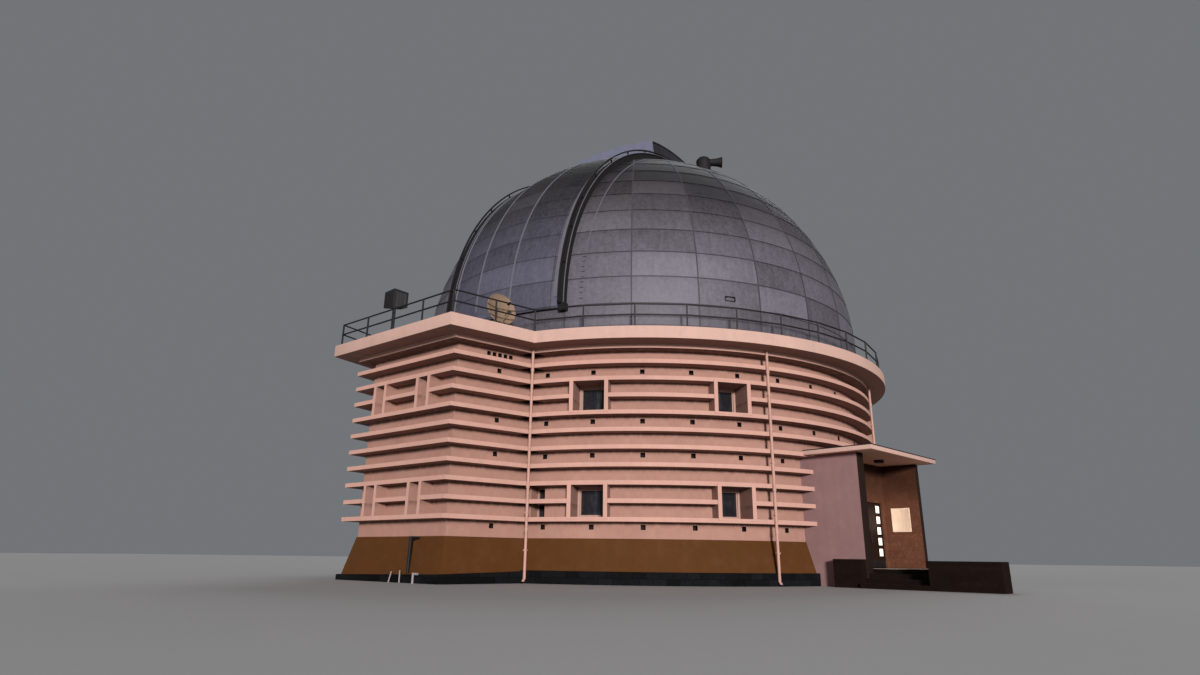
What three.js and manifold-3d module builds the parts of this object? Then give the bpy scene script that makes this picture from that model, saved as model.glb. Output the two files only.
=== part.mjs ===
// Observatory dome building: a round, ribbed concrete drum with a stair annex, an entrance porch,
// an open gallery and a turning metal dome. Millimetres, +Z up. The origin is on the dome axis at
// ground level, and -Y is the front. Azimuths are in degrees from -Y, positive towards +X.
import * as THREE from 'three';
import { mergeVertices } from 'three/addons/utils/BufferGeometryUtils.js';
import { ConvexGeometry } from 'three/addons/geometries/ConvexGeometry.js';
import Module from 'manifold-3d';

// Driving dimensions of the drum and its ribs
const DRUM_RADIUS = 9860;
const WALL = 550;
const FIN_REACH = 475;
const FIN_EDGE = 140;
const FIN_PITCH = 580.6;
const FIN_1_BOTTOM = 7156;
const FIN_COUNT = 10;
const RIB_UNDER_SLAB = 7690;
const PLINTH_TOP = 404;
const PLINTH_REACH = 460;
const BAND_TOP = 1413;
const BAND_TOP_REACH = 30;
const BAND_FOOT_REACH = 330;
const FACETS = 40;

// Space left between neighbouring pieces, how far a cut runs past a face, and a size past everything
const GAP = 0.4;
const OVERRUN = 20;
const BEYOND = 16000;

// Gallery slab and floors
const SLAB_BOTTOM = 7834;
const SLAB_TOP = 8261;
const SLAB_REACH = 1180;
const GROUND_FLOOR_TOP = 580;
const UPPER_FLOOR_TOP = 4560;
const UPPER_FLOOR_THICKNESS = 300;

// Stair annex: a prow with a flat end and two splayed sides
const ANNEX_AZIMUTH = -35.8;
const ANNEX_END = 12495;
const ANNEX_SIDE = 4995;
const ANNEX_SHIFT = -750;
const ANNEX_SPLAY = 12.5;
const ANNEX_ROOT = 4000;
const ANNEX_WINDOW_OFFSET = 1200;

// Top of the plinth along the annex: it falls outwards and to the left
const ANNEX_PLINTH_TOP = 566;
const ANNEX_PLINTH_FALL = 0.0251;
const ANNEX_PLINTH_LEAN = 0.0234;

// Windows
const FRAME_WIDTH = 1350;
const FRAME_POST = 135;
const SLOT_WIDTH = 470;
const FRONT_WINDOWS = [-9.4, 18.0];
const NARROW_WINDOW = -20.2;
const NARROW_WIDTH = 520;
const REAR_WINDOWS = [78, 104, 130, 156, 182, 208, 234, 260];
const GLASS_THICKNESS = 30;
const GLASS_MARGIN = 70;

// The ribs above and below each row of windows, counted from the top
const WINDOW_ROWS = [[2, 4], [8, 10]];

// Porch
const PORCH_AZIMUTH = 48;
const PORCH_ROOT = 8000;
const PORCH_FRONT = 11810;
const PORCH_BACK = 10500;
const PORCH_BACK_THICKNESS = 300;
const PORCH_LEFT_FRONT = 11710;
const PORCH_LEFT = -2200;
const PORCH_RIGHT = 2500;
const PORCH_LEFT_INNER = -1740;
const PORCH_RIGHT_INNER = 2280;
const PORCH_WALL_TOP = 4290;
const CANOPY_FRONT = 12450;
const CANOPY_HALF = 2640;
const CANOPY_THICKNESS = 140;
const DOOR_LEFT_EDGE = -300;
const DOOR_RIGHT_EDGE = 2050;
const DOOR_HEIGHT = 2320;
const DOOR_THICKNESS = 60;
const DOOR_CLEARANCE = 20;
const DOOR_FOOT_CLEARANCE = 12;
const DOOR_MEETING_HALF = 3;
const DOOR_PIN_RADIUS = 14;
const DOOR_PIN_LENGTH = 80;
const DOOR_SETBACK = 50;
const DOOR_PANES = 5;
const PANE_WIDTH = 330;
const PANE_HEIGHT = 260;
const PANE_PITCH = 386;
const PANE_FOOT = 400;
const PANE_DEPTH = 20;
const PANE_INSET = 280;
const DOORWAY_REVEAL = 150;
const DOORWAY_HEAD = 200;
const LANDING_FRONT = 13850;
const STEP_TREAD = 330;
const STEP_COUNT = 3;
const CHEEK_TOP = 840;
const CHEEK_THICKNESS = 260;
const PIER_FRONT = 15850;
const PIER_WIDTH = 650;
const PLANTER_TOP = 870;
const PLANTER_BACK = 10780;
const PLANTER_FRONT = 11710;
const PLANTER_WIDTH = 400;
const PLAQUE_FROM = 10740;
const PLAQUE_TO = 11440;
const PLAQUE_BOTTOM = 1860;
const PLAQUE_TOP = 2720;
const PLAQUE_THICKNESS = 25;

// Dome
const DOME_RADIUS = 10000;
const DOME_SKIN = 100;
const DOME_CENTRE = 9523;
const DOME_FOOT = 8420;
const DOME_FACETS = 45;
const DOME_COURSES = 9;
const SLIT_AZIMUTH = -31.9;
const SLIT_HALF = 2550;
const SLIT_START = 0.3;
const SLIT_END = 108;
const ARCH_INNER = 2720;
const ARCH_OUTER = 2980;
const ARCH_RADIUS = 9790;
const ARCH_ROOT = 9400;
const ARCH_STEPS = 24;
const ARCH_END = 152;
const ARCH_RAIL_RADIUS = 9980;
const ARCH_RAIL = 60;
const ARCH_POST_STEP = 19;
const ARCH_POST_SPREAD = 0.4;
const SHUTTER_HALF = 2690;
const SHUTTER_INNER = 10060;
const SHUTTER_OUTER = 10120;
const SHUTTER_START = 1.5;
const SHUTTER_TOP = 78;
const HOOD_START = 73.5;
const HOOD_END = 112;
const HOOD_INNER = 10160;
const HOOD_OUTER = 10940;
const HOOD_SKIN = 60;
const HOOD_RIM = 0.4;
const SHUTTER_FACETS = 72;
const TRACK_RADIUS = 9900;
const TRACK_WIDTH = 240;
const BASE_RING_HEIGHT = 50;
const WHEEL_COUNT = 15;
const WHEEL_HEIGHT = 40;
const WHEEL_LENGTH = 400;
const WHEEL_WIDTH = 120;

// Guide shoes at the edges of the shutters: they slide beside the arches
const SHOE_SPREAD = 1.6;
const LOWER_SHOES = [4, 28, 52, 74];
const LOWER_SHOE_INNER = 9700;
const LOWER_SHOE_OUTER = 9748;
const UPPER_SHOES = [76, 92, 109];
const UPPER_SHOE_INNER = 9766;
const UPPER_SHOE_OUTER = 9850;

// Vent cowl on the shoulder of the dome
const COWL_AZIMUTH = 38;
const COWL_OUT = 5000;
const COWL_RADIUS = 330;
const COWL_FOOT = 17700;
const COWL_SHOULDER = 18550;
const COWL_TOP = 18800;
const HORN_AXIS = 18530;
const HORN_LENGTH = 850;
const HORN_ROOT_RADIUS = 170;
const HORN_MOUTH_RADIUS = 260;
const HORN_SKIN = 25;

// Dish aerial and floodlight on the annex deck
const DISH_PLACE = [-4770, -10670];
const DISH_HEIGHT = 680;
const DISH_RADIUS = 570;
const DISH_DEPTH = 130;
const DISH_SKIN = 30;
const DISH_AZIMUTH = 45;
const DISH_TILT = 10;
const STAND_RADIUS = 35;
const STAND_PLATE = 240;
const FEED_RADIUS = 14;
const FEED_REACH = 620;
const FEED_ROOT = 0.93;
const LAMP_POLE_OUT = 13330;
const LAMP_POLE_RIGHT = -1100;
const LAMP_FOOT = 920;
const LAMP_HEIGHT = 760;

// Gallery railing
const RAIL_RADIUS = 10870;
const RAIL_TOP = 850;
const RAIL_MIDDLE = 450;
const RAIL_BAR = 50;
const RAIL_PITCH = 9.27;
const RAIL_PARTS = 6;
const ANNEX_RAIL_BAYS = 4;

// Rain pipes
const PIPE_RADIUS = 50;
const PIPE_STANDOFF = 4;
const PIPE_FOOT = 60;
const RIGHT_PIPE = 25.6;
const FAR_PIPE = 69;

const wasm = await Module();
wasm.setup();
const model = new THREE.Group();

const PINK = new THREE.MeshStandardMaterial({ color: 0xc98f83, roughness: 0.9, metalness: 0 });
const SLAB_PINK = new THREE.MeshStandardMaterial({ color: 0xd9a596, roughness: 0.85, metalness: 0 });
const CONCRETE = new THREE.MeshStandardMaterial({ color: 0x8d8680, roughness: 0.9, metalness: 0 });
const DOME_METAL = new THREE.MeshStandardMaterial({ color: 0x77727f, roughness: 0.5, metalness: 0.7 });
const DARK_METAL = new THREE.MeshStandardMaterial({ color: 0x3a3436, roughness: 0.55, metalness: 0.6 });
const RAIL_PAINT = new THREE.MeshStandardMaterial({ color: 0x2a2729, roughness: 0.5, metalness: 0.4 });
const PIPE_PAINT = new THREE.MeshStandardMaterial({ color: 0xd8a99a, roughness: 0.6, metalness: 0 });
const BRASS = new THREE.MeshStandardMaterial({ color: 0x8a7048, roughness: 0.5, metalness: 0.8 });
const STONE = new THREE.MeshStandardMaterial({ color: 0x6a4433, roughness: 0.8, metalness: 0 });
const DISH_PAINT = new THREE.MeshStandardMaterial({ color: 0xc9a988, roughness: 0.6, metalness: 0.1 });
const GLASS = new THREE.MeshStandardMaterial({ color: 0x101418, roughness: 0.1, metalness: 0 });

const rad = THREE.MathUtils.degToRad;

// Turns any closed three.js geometry into a solid: shared corners merged, flat triangles dropped
function solid(geometry) {
  const bare = new THREE.BufferGeometry();
  bare.setAttribute('position', geometry.getAttribute('position').clone());
  if (geometry.index) {
    bare.setIndex(geometry.index.clone());
  }
  const merged = mergeVertices(bare, 0.02);
  const points = merged.getAttribute('position').array;
  const index = merged.index.array;
  const kept = [];
  let volume = 0;
  const a = new THREE.Vector3();
  const b = new THREE.Vector3();
  const c = new THREE.Vector3();
  for (let i = 0; i < index.length; i += 3) {
    const [p, q, r] = [index[i], index[i + 1], index[i + 2]];
    if (p !== q && q !== r && r !== p) {
      kept.push(p, q, r);
      a.fromArray(points, 3 * p);
      b.fromArray(points, 3 * q);
      c.fromArray(points, 3 * r);
      volume += a.dot(b.cross(c));
    }
  }
  if (volume < 0) {
    kept.reverse();
  }
  const mesh = new wasm.Mesh({
    numProp: 3,
    vertProperties: Float32Array.from(points),
    triVerts: Uint32Array.from(kept),
  });
  return new wasm.Manifold(mesh);
}

// Adds a solid to the model as a named mesh, placed in a parent group
function piece(name, body, material, parent = model) {
  const mesh = body.getMesh();
  const geometry = new THREE.BufferGeometry();
  geometry.setAttribute('position', new THREE.BufferAttribute(mesh.vertProperties, 3));
  geometry.setIndex(new THREE.BufferAttribute(mesh.triVerts, 1));
  geometry.computeVertexNormals();
  const result = new THREE.Mesh(geometry, material);
  result.name = name;
  parent.add(result);
  return result;
}

function union(list) {
  return list.reduce((whole, part) => whole.add(part));
}

// Upright prism over a plan outline
function prism(outline, bottom, top) {
  const shape = new THREE.Shape(outline.map(([x, y]) => new THREE.Vector2(x, y)));
  const geometry = new THREE.ExtrudeGeometry(shape, { depth: top - bottom, bevelEnabled: false });
  geometry.translate(0, 0, bottom);
  return solid(geometry);
}

// Ring turned about the dome axis from a closed outline of [radius, height] points
function turned(outline, facets = FACETS) {
  const loop = [...outline, outline[0]].map(([r, z]) => new THREE.Vector2(r, z));
  const geometry = new THREE.LatheGeometry(loop, facets);
  geometry.rotateX(Math.PI / 2);
  return solid(geometry);
}

function disc(radius, bottom, top, facets = FACETS) {
  return turned([[0, bottom], [radius, bottom], [radius, top], [0, top]], facets);
}

// Plan point at a distance out along an azimuth and a distance to the right of it
function planPoint(azimuth, out, right) {
  const a = rad(azimuth);
  return [out * Math.sin(a) + right * Math.cos(a), -out * Math.cos(a) + right * Math.sin(a)];
}

// Block whose sides run out along an azimuth
function block(azimuth, out0, out1, right0, right1, bottom, top) {
  const outline = [[out0, right0], [out1, right0], [out1, right1], [out0, right1]];
  return prism(outline.map(([out, right]) => planPoint(azimuth, out, right)), bottom, top);
}

// Wedge of the plan between two azimuths, used to part the round wall
function wedge(from, to, reach, bottom, top) {
  const trim = (GAP / 2 / (DRUM_RADIUS - WALL)) * (180 / Math.PI);
  const outline = [[0, 0]];
  const steps = Math.max(1, Math.ceil((to - from) / 30));
  for (let i = 0; i <= steps; i += 1) {
    const azimuth = from + trim + ((to - from - 2 * trim) * i) / steps;
    outline.push(planPoint(azimuth, reach, 0));
  }
  return prism(outline, bottom, top);
}

// Corners of the annex at a distance outside its wall face, as distances out and to the right
function annexCorners(outside) {
  const sine = Math.sin(rad(ANNEX_SPLAY));
  const cosine = Math.cos(rad(ANNEX_SPLAY));
  const half = (out) => (ANNEX_SIDE + outside - sine * out) / cosine;
  const end = ANNEX_END + outside;
  return [
    [ANNEX_ROOT, ANNEX_SHIFT - half(ANNEX_ROOT)],
    [end, ANNEX_SHIFT - half(end)],
    [end, ANNEX_SHIFT + half(end)],
    [ANNEX_ROOT, ANNEX_SHIFT + half(ANNEX_ROOT)],
  ];
}

function annexOutline(outside) {
  return annexCorners(outside).map(([out, side]) => planPoint(ANNEX_AZIMUTH, out, side));
}

// One storey-high slice of the whole plan: drum and annex together
function level(outside, bottom, top) {
  const drum = disc(DRUM_RADIUS + outside, bottom, top);
  return drum.add(prism(annexOutline(outside), bottom, top));
}

// Corners where the annex band meets the falling top of the plinth
function plinthTopCorners(outside) {
  return annexCorners(outside).map(([out, side]) => {
    const height = ANNEX_PLINTH_TOP - ANNEX_PLINTH_FALL * out + ANNEX_PLINTH_LEAN * side;
    return new THREE.Vector3(...planPoint(ANNEX_AZIMUTH, out, side), height);
  });
}

function plinth() {
  const drum = disc(DRUM_RADIUS + PLINTH_REACH, 0, PLINTH_TOP);
  const foot = annexOutline(PLINTH_REACH).map(([x, y]) => new THREE.Vector3(x, y, 0));
  return drum.add(solid(new ConvexGeometry([...foot, ...plinthTopCorners(PLINTH_REACH)])));
}

// Sloped base band under the walls
function batteredBand() {
  const foot = DRUM_RADIUS + BAND_FOOT_REACH;
  const head = DRUM_RADIUS + BAND_TOP_REACH;
  const drum = turned([[0, PLINTH_TOP], [foot, PLINTH_TOP], [head, BAND_TOP], [0, BAND_TOP]]);
  const high = annexOutline(BAND_TOP_REACH).map(([x, y]) => new THREE.Vector3(x, y, BAND_TOP));
  return drum.add(solid(new ConvexGeometry([...plinthTopCorners(BAND_FOOT_REACH), ...high])));
}

function finBottom(number) {
  return FIN_1_BOTTOM - FIN_PITCH * (number - 1);
}

// Deep box frame of a window between two ribs, and the hole through it
function windowFrame(azimuth, ribAbove, ribBelow) {
  const top = finBottom(ribAbove) + FIN_EDGE / 2;
  const bottom = finBottom(ribBelow) + FIN_EDGE / 2;
  const half = FRAME_WIDTH / 2;
  return block(azimuth, DRUM_RADIUS - WALL / 2, DRUM_RADIUS + FIN_REACH, -half, half, bottom, top);
}

function windowCut(azimuth, ribAbove, ribBelow) {
  const sill = finBottom(ribBelow) + FIN_EDGE;
  const half = FRAME_WIDTH / 2 - FRAME_POST;
  const outer = DRUM_RADIUS + FIN_REACH + WALL;
  return block(azimuth, DRUM_RADIUS - 2 * WALL, outer, -half, half, sill, finBottom(ribAbove));
}

// Narrow slots in the annex end wall, each framed by two posts
function slotFrame(side, ribAbove, ribBelow) {
  const half = SLOT_WIDTH / 2 + FRAME_POST;
  const centre = ANNEX_SHIFT + side * ANNEX_WINDOW_OFFSET;
  const bottom = finBottom(ribBelow) + FIN_EDGE / 2;
  const top = finBottom(ribAbove) + FIN_EDGE / 2;
  const face = ANNEX_END + FIN_REACH;
  return block(ANNEX_AZIMUTH, ANNEX_END - WALL / 2, face, centre - half, centre + half, bottom, top);
}

function slotCut(side, ribAbove, ribBelow) {
  const half = SLOT_WIDTH / 2;
  const centre = ANNEX_SHIFT + side * ANNEX_WINDOW_OFFSET;
  const bottom = finBottom(ribBelow) + FIN_EDGE;
  const outer = ANNEX_END + FIN_REACH + WALL;
  const inner = ANNEX_END - 2 * WALL;
  return block(ANNEX_AZIMUTH, inner, outer, centre - half, centre + half, bottom, finBottom(ribAbove));
}

// The whole ribbed wall in one body, before it is parted
function ribbedWall() {
  const bodies = [
    plinth(),
    batteredBand(),
    level(0, BAND_TOP, SLAB_BOTTOM - GAP),
    level(FIN_REACH, RIB_UNDER_SLAB, SLAB_BOTTOM - GAP),
  ];
  for (let number = 1; number <= FIN_COUNT; number += 1) {
    bodies.push(level(FIN_REACH, finBottom(number), finBottom(number) + FIN_EDGE));
  }
  const cuts = [level(-WALL, -OVERRUN, SLAB_BOTTOM + OVERRUN)];
  for (const [above, below] of WINDOW_ROWS) {
    for (const azimuth of [...FRONT_WINDOWS, ...REAR_WINDOWS]) {
      bodies.push(windowFrame(azimuth, above, below));
      cuts.push(windowCut(azimuth, above, below));
    }
    for (const side of [-1, 1]) {
      bodies.push(slotFrame(side, above, below));
      cuts.push(slotCut(side, above, below));
    }
  }
  const [above, below] = WINDOW_ROWS[1];
  const inner = DRUM_RADIUS - 2 * WALL;
  const half = NARROW_WIDTH / 2;
  const sill = finBottom(below) + FIN_EDGE;
  cuts.push(block(NARROW_WINDOW, inner, DRUM_RADIUS + 1, -half, half, sill, finBottom(above)));
  cuts.push(porchVoid());
  cuts.push(doorwayVoid());
  return union(bodies).subtract(union(cuts));
}

// Room that the porch takes out of the ribs of the drum
function porchVoid() {
  const left = PORCH_LEFT - GAP;
  const right = PORCH_RIGHT + GAP;
  const top = PORCH_WALL_TOP + CANOPY_THICKNESS + GAP;
  const room = block(PORCH_AZIMUTH, PORCH_ROOT, BEYOND, left, right, -OVERRUN, top);
  return room.subtract(disc(DRUM_RADIUS, -2 * OVERRUN, SLAB_BOTTOM));
}

// Opening in the drum wall behind the entrance
function doorwayVoid(reveal = DOORWAY_REVEAL) {
  const left = DOOR_LEFT_EDGE - reveal;
  const right = DOOR_RIGHT_EDGE + reveal;
  const top = GROUND_FLOOR_TOP + DOOR_HEIGHT + DOORWAY_HEAD;
  return block(PORCH_AZIMUTH, PORCH_ROOT, PORCH_BACK, left, right, GROUND_FLOOR_TOP, top);
}

// Walls: parted along upright planes through the dome axis
const WALL_PARTS = [
  ['annex_rear_wall', -58.8, -50.3],
  ['annex_end_wall', -50.3, -27.6],
  ['annex_front_wall', -27.6, -22.7],
  ['drum_wall_front_left', -22.7, 4],
  ['drum_wall_front_right', 4, 33.5],
  ['drum_wall_entrance', 33.5, 65],
  ['drum_wall_right', 65, 117],
  ['drum_wall_rear_right', 117, 169],
  ['drum_wall_rear', 169, 221],
  ['drum_wall_rear_left', 221, 273],
  ['drum_wall_left', 273, 301.2],
];

function addWalls() {
  const whole = ribbedWall();
  for (const [name, from, to] of WALL_PARTS) {
    piece(name, whole.intersect(wedge(from, to, BEYOND, -OVERRUN, SLAB_BOTTOM + OVERRUN)), PINK);
  }
}

// One sheet of glass behind each row of windows, close to the inner face of the wall
function addGlass() {
  for (const [name, [above, below]] of [['glass_upper', WINDOW_ROWS[0]], ['glass_lower', WINDOW_ROWS[1]]]) {
    const bottom = finBottom(below) + FIN_EDGE - GLASS_MARGIN;
    const top = finBottom(above) + GLASS_MARGIN;
    const sheet = level(-WALL - GAP, bottom, top);
    const room = level(-WALL - GAP - GLASS_THICKNESS, bottom - OVERRUN, top + OVERRUN);
    piece(name, sheet.subtract(room).subtract(doorwayVoid(2 * DOORWAY_REVEAL)), GLASS);
  }
}

// Floors that the entrance and the two window rows show, and the slab that carries the gallery
function addFloors() {
  const inside = -WALL - GAP;
  piece('ground_floor', level(inside, 0, GROUND_FLOOR_TOP), CONCRETE);
  piece('upper_floor', level(inside, UPPER_FLOOR_TOP - UPPER_FLOOR_THICKNESS, UPPER_FLOOR_TOP), CONCRETE);
  piece('gallery_slab', level(SLAB_REACH, SLAB_BOTTOM, SLAB_TOP), SLAB_PINK);
}

// Porch walls, canopy, entrance wall and doors
function porchBlock(out0, out1, right0, right1, bottom, top) {
  return block(PORCH_AZIMUTH, out0, out1, right0, right1, bottom, top);
}

function addPorch() {
  const drum = disc(DRUM_RADIUS + GAP, -OVERRUN, SLAB_BOTTOM);
  const left = porchBlock(PORCH_ROOT, PORCH_LEFT_FRONT, PORCH_LEFT, PORCH_LEFT_INNER, 0, PORCH_WALL_TOP);
  piece('porch_left_wall', left.subtract(drum), PINK);
  const right = porchBlock(PORCH_ROOT, PORCH_FRONT, PORCH_RIGHT_INNER, PORCH_RIGHT, 0, PORCH_WALL_TOP);
  piece('porch_right_wall', right.subtract(drum), STONE);
  addEntranceWall(PORCH_LEFT_INNER + GAP, PORCH_RIGHT_INNER - GAP);
  const bottom = PORCH_WALL_TOP + GAP;
  const top = bottom + CANOPY_THICKNESS;
  const canopy = porchBlock(PORCH_ROOT, CANOPY_FRONT, -CANOPY_HALF, CANOPY_HALF, bottom, top);
  const ribs = disc(DRUM_RADIUS + FIN_REACH + GAP, -OVERRUN, SLAB_BOTTOM);
  piece('porch_canopy', canopy.subtract(ribs), SLAB_PINK);
  addLanding(drum, PORCH_LEFT_INNER + GAP, PORCH_RIGHT_INNER - GAP);
  const face = PORCH_RIGHT_INNER - GAP;
  const back = face - PLAQUE_THICKNESS;
  piece('wall_plaque', porchBlock(PLAQUE_FROM, PLAQUE_TO, back, face, PLAQUE_BOTTOM, PLAQUE_TOP), BRASS);
}

function addEntranceWall(from, to) {
  const back = PORCH_BACK - PORCH_BACK_THICKNESS;
  const wall = porchBlock(back, PORCH_BACK, from, to, GROUND_FLOOR_TOP + GAP, PORCH_WALL_TOP);
  const doorway = porchBlock(
    back - OVERRUN,
    PORCH_BACK + OVERRUN,
    DOOR_LEFT_EDGE,
    DOOR_RIGHT_EDGE,
    GROUND_FLOOR_TOP - OVERRUN,
    GROUND_FLOOR_TOP + DOOR_HEIGHT,
  );
  piece('entrance_wall', wall.subtract(doorway), STONE);
}

// Raised landing with steps down its left side, and the low walls around it
function addLanding(drum, from, to) {
  const steps = [porchBlock(PORCH_ROOT, LANDING_FRONT, from, to, 0, GROUND_FLOOR_TOP)];
  const rise = GROUND_FLOOR_TOP / (STEP_COUNT + 1);
  const back = PLANTER_FRONT + GAP;
  for (let i = 1; i <= STEP_COUNT; i += 1) {
    const height = GROUND_FLOOR_TOP - i * rise;
    const foot = from - i * STEP_TREAD;
    steps.push(porchBlock(back, LANDING_FRONT, foot, from + OVERRUN, 0, height));
  }
  piece('entrance_steps', union(steps).subtract(drum), STONE);
  const cheek = to + GAP;
  const far = cheek + CHEEK_THICKNESS;
  const end = LANDING_FRONT + GAP;
  const near = from - STEP_COUNT * STEP_TREAD;
  const around = [
    porchBlock(PORCH_FRONT + GAP, end + CHEEK_THICKNESS, cheek, far, 0, CHEEK_TOP),
    porchBlock(end, end + CHEEK_THICKNESS, near, far, 0, CHEEK_TOP),
    porchBlock(end, PIER_FRONT, near, near + PIER_WIDTH, 0, CHEEK_TOP),
  ];
  piece('step_wall_right', union(around), STONE);
  const side = PORCH_LEFT - GAP;
  const left = porchBlock(PLANTER_BACK, PLANTER_FRONT, side - PLANTER_WIDTH, side, 0, PLANTER_TOP);
  const plinth = level(PLINTH_REACH + GAP, -OVERRUN, PLINTH_TOP + OVERRUN);
  piece('side_planter', left.subtract(plinth), STONE);
}

// Double door: two glazed steel leaves, each turning on a pin at its outer edge
function doorLeaf(from, to, panesAt, pinAt) {
  const front = PORCH_BACK - DOOR_SETBACK;
  const foot = GROUND_FLOOR_TOP + DOOR_FOOT_CLEARANCE;
  const head = GROUND_FLOOR_TOP + DOOR_HEIGHT - DOOR_CLEARANCE;
  const half = PANE_WIDTH / 2;
  let leaf = porchBlock(front - DOOR_THICKNESS, front, from, to, foot, head);
  for (let i = 0; i < DOOR_PANES; i += 1) {
    const low = foot + PANE_FOOT + i * PANE_PITCH;
    const high = low + PANE_HEIGHT;
    const pane = porchBlock(front - PANE_DEPTH, front + OVERRUN, panesAt - half, panesAt + half, low, high);
    leaf = leaf.subtract(pane);
  }
  const [x, y] = planPoint(PORCH_AZIMUTH, front, pinAt);
  const pin = new THREE.CylinderGeometry(DOOR_PIN_RADIUS, DOOR_PIN_RADIUS, DOOR_PIN_LENGTH, 12);
  pin.rotateX(Math.PI / 2);
  pin.translate(x, y, GROUND_FLOOR_TOP + GAP + DOOR_PIN_LENGTH / 2);
  return leaf.add(solid(pin));
}

function addDoors(leftLeaf, rightLeaf) {
  const middle = (DOOR_LEFT_EDGE + DOOR_RIGHT_EDGE) / 2;
  const leftEdge = DOOR_LEFT_EDGE + DOOR_CLEARANCE;
  const rightEdge = DOOR_RIGHT_EDGE - DOOR_CLEARANCE;
  const left = doorLeaf(leftEdge, middle - DOOR_MEETING_HALF, leftEdge + PANE_INSET, leftEdge);
  const right = doorLeaf(middle + DOOR_MEETING_HALF, rightEdge, rightEdge - PANE_INSET, rightEdge);
  piece('door_leaf_left', left, DARK_METAL, leftLeaf);
  piece('door_leaf_right', right, DARK_METAL, rightLeaf);
}

// Axes of the slit: out along its azimuth, up, and level across it
function slitAxes() {
  const [x, y] = planPoint(SLIT_AZIMUTH, 1, 0);
  const out = new THREE.Vector3(x, y, 0);
  const up = new THREE.Vector3(0, 0, 1);
  const side = new THREE.Vector3().crossVectors(out, up);
  return { out, up, side };
}

// Upright plate bounded by two arcs about the dome centre, standing in a plane beside the slit
function arcPlate(inner, outer, start, end, near, far, steps) {
  const points = [];
  for (let i = 0; i <= steps; i += 1) {
    const angle = rad(start + ((end - start) * i) / steps);
    points.push([outer * Math.cos(angle), outer * Math.sin(angle)]);
  }
  for (let i = steps; i >= 0; i -= 1) {
    const angle = rad(start + ((end - start) * i) / steps);
    points.push([inner * Math.cos(angle), inner * Math.sin(angle)]);
  }
  const shape = new THREE.Shape(points.map(([x, y]) => new THREE.Vector2(x, y)));
  const geometry = new THREE.ExtrudeGeometry(shape, { depth: far - near, bevelEnabled: false });
  geometry.translate(0, 0, near);
  const { out, up, side } = slitAxes();
  const place = new THREE.Matrix4().makeBasis(out, up, side);
  place.setPosition(0, 0, DOME_CENTRE);
  geometry.applyMatrix4(place);
  return solid(geometry);
}

// Ball about the dome centre, with its courses of flat facets
function ball(radius) {
  const courses = DOME_COURSES * 2;
  const points = [];
  for (let i = 0; i <= courses; i += 1) {
    const angle = rad(-90 + (180 * i) / courses);
    const across = i === 0 || i === courses ? 0 : radius * Math.cos(angle);
    points.push(new THREE.Vector2(across, DOME_CENTRE + radius * Math.sin(angle)));
  }
  const geometry = new THREE.LatheGeometry(points, DOME_FACETS);
  geometry.rotateX(Math.PI / 2);
  return solid(geometry);
}

// Round shell on a short upright skirt
function domeBody(radius) {
  const lower = disc(radius, DOME_FOOT, DOME_CENTRE, DOME_FACETS);
  const half = disc(radius + OVERRUN, DOME_CENTRE - 1, DOME_CENTRE + 2 * radius, DOME_FACETS);
  return lower.add(ball(radius).intersect(half));
}

function addDome(dome) {
  const room = DOME_RADIUS - DOME_SKIN;
  const foot = disc(room, DOME_FOOT - OVERRUN, DOME_FOOT + 1, DOME_FACETS);
  const slit = arcPlate(SLIT_HALF, 2 * DOME_RADIUS, SLIT_START, SLIT_END, -SLIT_HALF, SLIT_HALF, ARCH_STEPS);
  const shell = domeBody(DOME_RADIUS).subtract(domeBody(room).add(foot)).subtract(slit);
  const names = ['dome_shell_front', 'dome_shell_rear_right', 'dome_shell_rear_left', 'dome_shell_left'];
  names.forEach((name, i) => {
    const from = SLIT_AZIMUTH + 90 * i;
    piece(name, shell.intersect(wedge(from, from + 90, BEYOND, 0, 2 * BEYOND)), DOME_METAL, dome);
  });
  piece('dome_base_ring', baseRing(), DARK_METAL, dome);
  const seat = domeBody(DOME_RADIUS + GAP);
  piece('slit_arch_left', slitArch(ARCH_INNER, ARCH_OUTER, seat), DARK_METAL, dome);
  piece('slit_arch_right', slitArch(-ARCH_OUTER, -ARCH_INNER, seat), DARK_METAL, dome);
  piece('roof_cowl', roofCowl().subtract(seat), DOME_METAL, dome);
}

// Ring beam under the skirt, with the wheel boxes that run on the track
function baseRing() {
  const inner = TRACK_RADIUS - TRACK_WIDTH;
  const bottom = DOME_FOOT - BASE_RING_HEIGHT;
  const top = DOME_FOOT - GAP;
  const bodies = [turned([[inner, bottom], [TRACK_RADIUS, bottom], [TRACK_RADIUS, top], [inner, top]])];
  const middle = TRACK_RADIUS - TRACK_WIDTH / 2;
  const half = WHEEL_WIDTH / 2;
  for (let i = 0; i < WHEEL_COUNT; i += 1) {
    const azimuth = (360 * (i + 0.5)) / WHEEL_COUNT;
    const side = WHEEL_LENGTH / 2;
    bodies.push(block(azimuth, middle - half, middle + half, -side, side, bottom - WHEEL_HEIGHT, bottom + 1));
  }
  return union(bodies);
}

// Ring track on the slab, under the wheels
function addTrack() {
  const inner = TRACK_RADIUS - TRACK_WIDTH;
  const top = DOME_FOOT - BASE_RING_HEIGHT - WHEEL_HEIGHT - GAP;
  const bottom = SLAB_TOP + GAP;
  const outline = [[inner, bottom], [TRACK_RADIUS, bottom], [TRACK_RADIUS, top], [inner, top]];
  piece('dome_track', turned(outline), DARK_METAL);
}

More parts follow.
